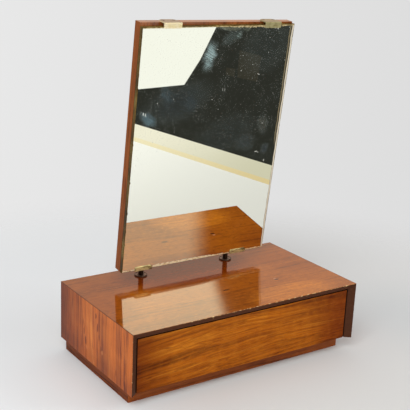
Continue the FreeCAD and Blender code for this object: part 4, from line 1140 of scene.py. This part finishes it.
def glow(name, tone, fade=None):
    """An even light of its own; fade gives an axis, where along it the change of tone starts
    and ends, and the tone it ends in."""
    f = Finish(name)
    if fade is not None:
        axis, low, high, last = fade
        tone = f.mix(f.vector("DOT_PRODUCT", f.place, axis).rise(low, high), tone, last)
    return f.done(f.add("Emission", {"Color": tone}))


def reflected_only(made):
    """Seen in polished surfaces only; it lights nothing and casts no shadow."""
    for ray in ("camera", "diffuse", "transmission", "volume_scatter", "shadow"):
        setattr(made, "visible_" + ray, False)


def extended(line, reach):
    """Two points far out on both sides of a line's own two."""
    start, end = (np.array(point) for point in line)
    ahead = (end - start) / np.linalg.norm(end - start)
    return start - ahead * reach, end + ahead * reach


class VANITY_OT_stage(Undoable, bpy.types.Operator):
    """Builds floor, backdrop, lamps and what the polished surfaces reflect"""

    bl_idname = "vanity.stage"
    bl_label = "Studio"

    def execute(self, context):
        scene = context.scene
        studio = scene.vanity_studio
        scene.view_settings.view_transform = "Standard"
        self.floor(studio)
        self.reflections()
        self.softbox()
        self.backdrop(scene, studio)
        self.lamp("key_lamp", (-1.6, -1.4, 2.0), 1.6, studio.key_power)
        self.lamp("fill_lamp", (1.9, -1.3, 1.5), 1.2, studio.fill_power)
        return {"FINISHED"}

    def floor(self, studio):
        """A disc whose colour fades out into the backdrop. It is darker in front of the drawer and
        beside the right side, a painted shadow of the box. Polished surfaces see it in tones
        of their own."""
        f = Finish("studio_floor")
        aside = f.vector("DOT_PRODUCT", f.place, SIDEWAYS)
        # Darker towards the front: painted shadow of the box
        seen = f.mix(aside.rise(-0.18, 0.03), studio.floor_left, studio.floor_front_shaded)
        # Painted shadow of the box beside its right side
        box_shadow_beside = f.near(f.place, (0.37, -0.04, 0.0), (0.24, 0.24, 1.0))
        seen = f.mix(box_shadow_beside * 0.9, seen, studio.floor_right_shaded)
        nearer = f.vector("DOT_PRODUCT", f.place, INTO_THE_MIRROR)
        mirrored = f.mix(nearer.rise(-0.60, -0.02), shown(254, 253, 248), shown(222, 221, 217))
        polished = f.get("LightPath", None, "Is Glossy Ray")
        body = f.add("BsdfDiffuse", {"Color": f.mix(polished, seen, mirrored)})
        fade = f.vector("LENGTH", f.place).rise(0.38, 0.90) * (1.0 - polished)
        material = f.done(f.layer(fade, body, f.add("BsdfTransparent")))
        turn = np.linspace(0, 2 * math.pi, 97)[:-1]
        edge = FLOOR_RADIUS * np.stack([np.cos(turn), np.sin(turn)], axis=-1)
        flat("studio_floor", edge, 0.0, material)

    def reflections(self):
        """What the mirror shows: the table's far edge with its tape, and the room beyond."""
        lines = (TABLE_EDGE, TAPE_OUTER, TAPE_INNER)
        table, outer, inner = (extended(line, 3.0) for line in lines)
        start, end = extended(TABLE_EDGE, 5.0)
        room = (start, end, end + BEYOND_THE_TABLE, start + BEYOND_THE_TABLE)
        cream_fade = (INTO_THE_MIRROR, -0.45, -0.13, shown(212, 208, 184))
        yellow_fade = (INTO_THE_MIRROR, -0.45, -0.10, shown(224, 204, 155))
        cream = glow("table_rim", shown(248, 243, 224), cream_fade)
        yellow = glow("tape", shown(250, 238, 200), yellow_fade)
        dim = glow("cabinet", shown(56, 54, 46))
        for name, edge, height, material in (
            ("dark_room", room, LOWER_SHEETS, glow("dark_room", shown(45, 46, 41))),
            ("table_rim", (*table, *outer[::-1]), LOWER_SHEETS, cream),
            ("tape", (*outer, *inner[::-1]), LOWER_SHEETS, yellow),
            ("reflector", REFLECTOR, UPPER_SHEETS, glow("reflector", shown(254, 254, 246))),
            ("cabinet_door", CABINET_DOOR, UPPER_SHEETS, dim),
            ("cabinet_foot", CABINET_FOOT, UPPER_SHEETS, dim),
        ):
            reflected_only(flat(name, edge, height, material))

    def softbox(self):
        """Warm lamp cover that the lacquered top mirrors: part of a sphere about the box. From
        10 degrees up, its right edge leans and is the softer the higher it reaches."""
        far, height = 2.6, 0.12
        edge_foot, edge_lean, foot_blur, blur_growth, least_blur = 34.7, 0.223, 0.6, 0.045, 0.3
        rise, azimuth = np.meshgrid(
            np.radians(np.linspace(2, 42, 9)), np.radians(np.linspace(-8, 56, 17)), indexing="ij"
        )
        points = np.stack([
            far * np.sin(azimuth) * np.cos(rise), -far * np.cos(azimuth) * np.cos(rise),
            height + far * np.sin(rise),
        ], axis=-1)
        index = np.arange(rise.size).reshape(rise.shape)
        faces = np.stack([index[:-1, :-1], index[:-1, 1:], index[1:, 1:], index[1:, :-1]], -1)
        f = Finish("softbox")
        x, y, z = f.split(f.place)
        around = f.calc("ARCTAN2", x, y * -1.0)
        level = f.calc("ARCSINE", (z - height) * (1 / far)) - math.radians(10)
        edge = level * edge_lean + math.radians(edge_foot)
        blur = level * blur_growth + math.radians(foot_blur)
        blur = f.calc("MAXIMUM", blur, math.radians(least_blur))
        past = f.calc("DIVIDE", around - edge, blur)
        light = f.add("Emission", {"Color": (1.0, 0.92, 0.68), "Strength": 2.85})
        material = f.done(f.layer(past.rise(-1.0, 1.0), light, f.add("BsdfTransparent")))
        faces = faces.reshape(-1, 4).tolist()
        reflected_only(sheet("softbox", points.reshape(-1, 3), faces, material))

    def backdrop(self, scene, studio):
        """Even light from all round; the camera and polished surfaces see tones of their own."""
        f = Finish("studio", world=True)
        scene.world = f.made
        direction = f.coordinates["Generated"]
        aside = f.vector("DOT_PRODUCT", direction, SIDEWAYS)
        aside = f.get("MapRange", {0: aside, 1: -0.25, 2: 0.25})
        seen = f.mix(aside, studio.backdrop_left, studio.backdrop_right)
        behind = f.split(direction)[1].rise(-0.15, 0.25)
        mirrored = f.mix(behind, shown(58, 58, 56), shown(248, 217, 194))
        ray = f.add("LightPath").outputs
        even = f.add("Background", {"Strength": studio.ambient})
        polished = f.add("Background", {"Color": mirrored})
        stack = f.layer(ray["Is Glossy Ray"], even, polished)
        f.done(f.layer(ray["Is Camera Ray"], stack, f.add("Background", {"Color": seen})))

    def lamp(self, name, place, size, power):
        """A square lamp aimed at the box, which polished surfaces don't show."""
        data = bpy.data.lights.new(name, "AREA")
        data.size = size
        data.energy = power
        made = bpy.data.objects.new(name, data)
        made.location = place
        made.rotation_euler = (-Vector(place)).to_track_quat("-Z", "Y").to_euler()
        made.visible_glossy = False
        bpy.context.scene.collection.objects.link(made)


class VANITY_OT_camera(Undoable, bpy.types.Operator):
    """Places the camera"""

    bl_idname = "vanity.camera"
    bl_label = "Camera"

    def execute(self, context):
        studio = context.scene.vanity_studio
        data = bpy.data.cameras.new("camera")
        data.lens = studio.focal_length
        data.sensor_width = 36.0
        camera = bpy.data.objects.new("camera", data)
        aim = CAMERA_AIM.normalized()
        right = aim.cross(Vector((0, 0, 1))).normalized()
        turn = Matrix((right, right.cross(aim), -aim)).transposed()
        turn = turn @ Matrix.Rotation(studio.roll, 3, "Z")
        camera.matrix_world = Matrix.Translation(CAMERA_PLACE) @ turn.to_4x4()
        context.scene.collection.objects.link(camera)
        context.scene.camera = camera
        return {"FINISHED"}


OPERATORS = (
    VANITY_OT_top_panel, VANITY_OT_side_panels, VANITY_OT_carcass, VANITY_OT_drawer,
    VANITY_OT_mirror_glass, VANITY_OT_mirror_board, VANITY_OT_clips, VANITY_OT_posts,
    VANITY_OT_hardware, VANITY_OT_stage, VANITY_OT_camera,
)
GROUPS = {
    "vanity_case": CaseSettings,
    "vanity_veneers": VeneerSettings,
    "vanity_mirror": MirrorSettings,
    "vanity_studio": StudioSettings,
}


class VANITY_PT_sidebar(bpy.types.Panel):
    """Lists the pieces and their settings"""

    bl_label = "Vanity Box"
    bl_space_type = "VIEW_3D"
    bl_region_type = "UI"
    bl_category = "Vanity Box"

    def draw(self, context):
        for operator in OPERATORS:
            self.layout.operator(operator.bl_idname)
        for key in GROUPS:
            box = self.layout.box()
            group = getattr(context.scene, key)
            for name in group.bl_rna.properties.keys():
                if name not in ("rna_type", "name"):
                    box.prop(group, name)


def register():
    for kind in (*GROUPS.values(), *OPERATORS, VANITY_PT_sidebar):
        bpy.utils.register_class(kind)
    for key, kind in GROUPS.items():
        setattr(bpy.types.Scene, key, bpy.props.PointerProperty(type=kind))


def unregister():
    for key in GROUPS:
        delattr(bpy.types.Scene, key)
    for kind in reversed((*GROUPS.values(), *OPERATORS, VANITY_PT_sidebar)):
        bpy.utils.unregister_class(kind)


def main():
    register()
    for operator in OPERATORS:
        family, name = operator.bl_idname.split(".")
        getattr(getattr(bpy.ops, family), name)()


if __name__ == "__main__":
    main()
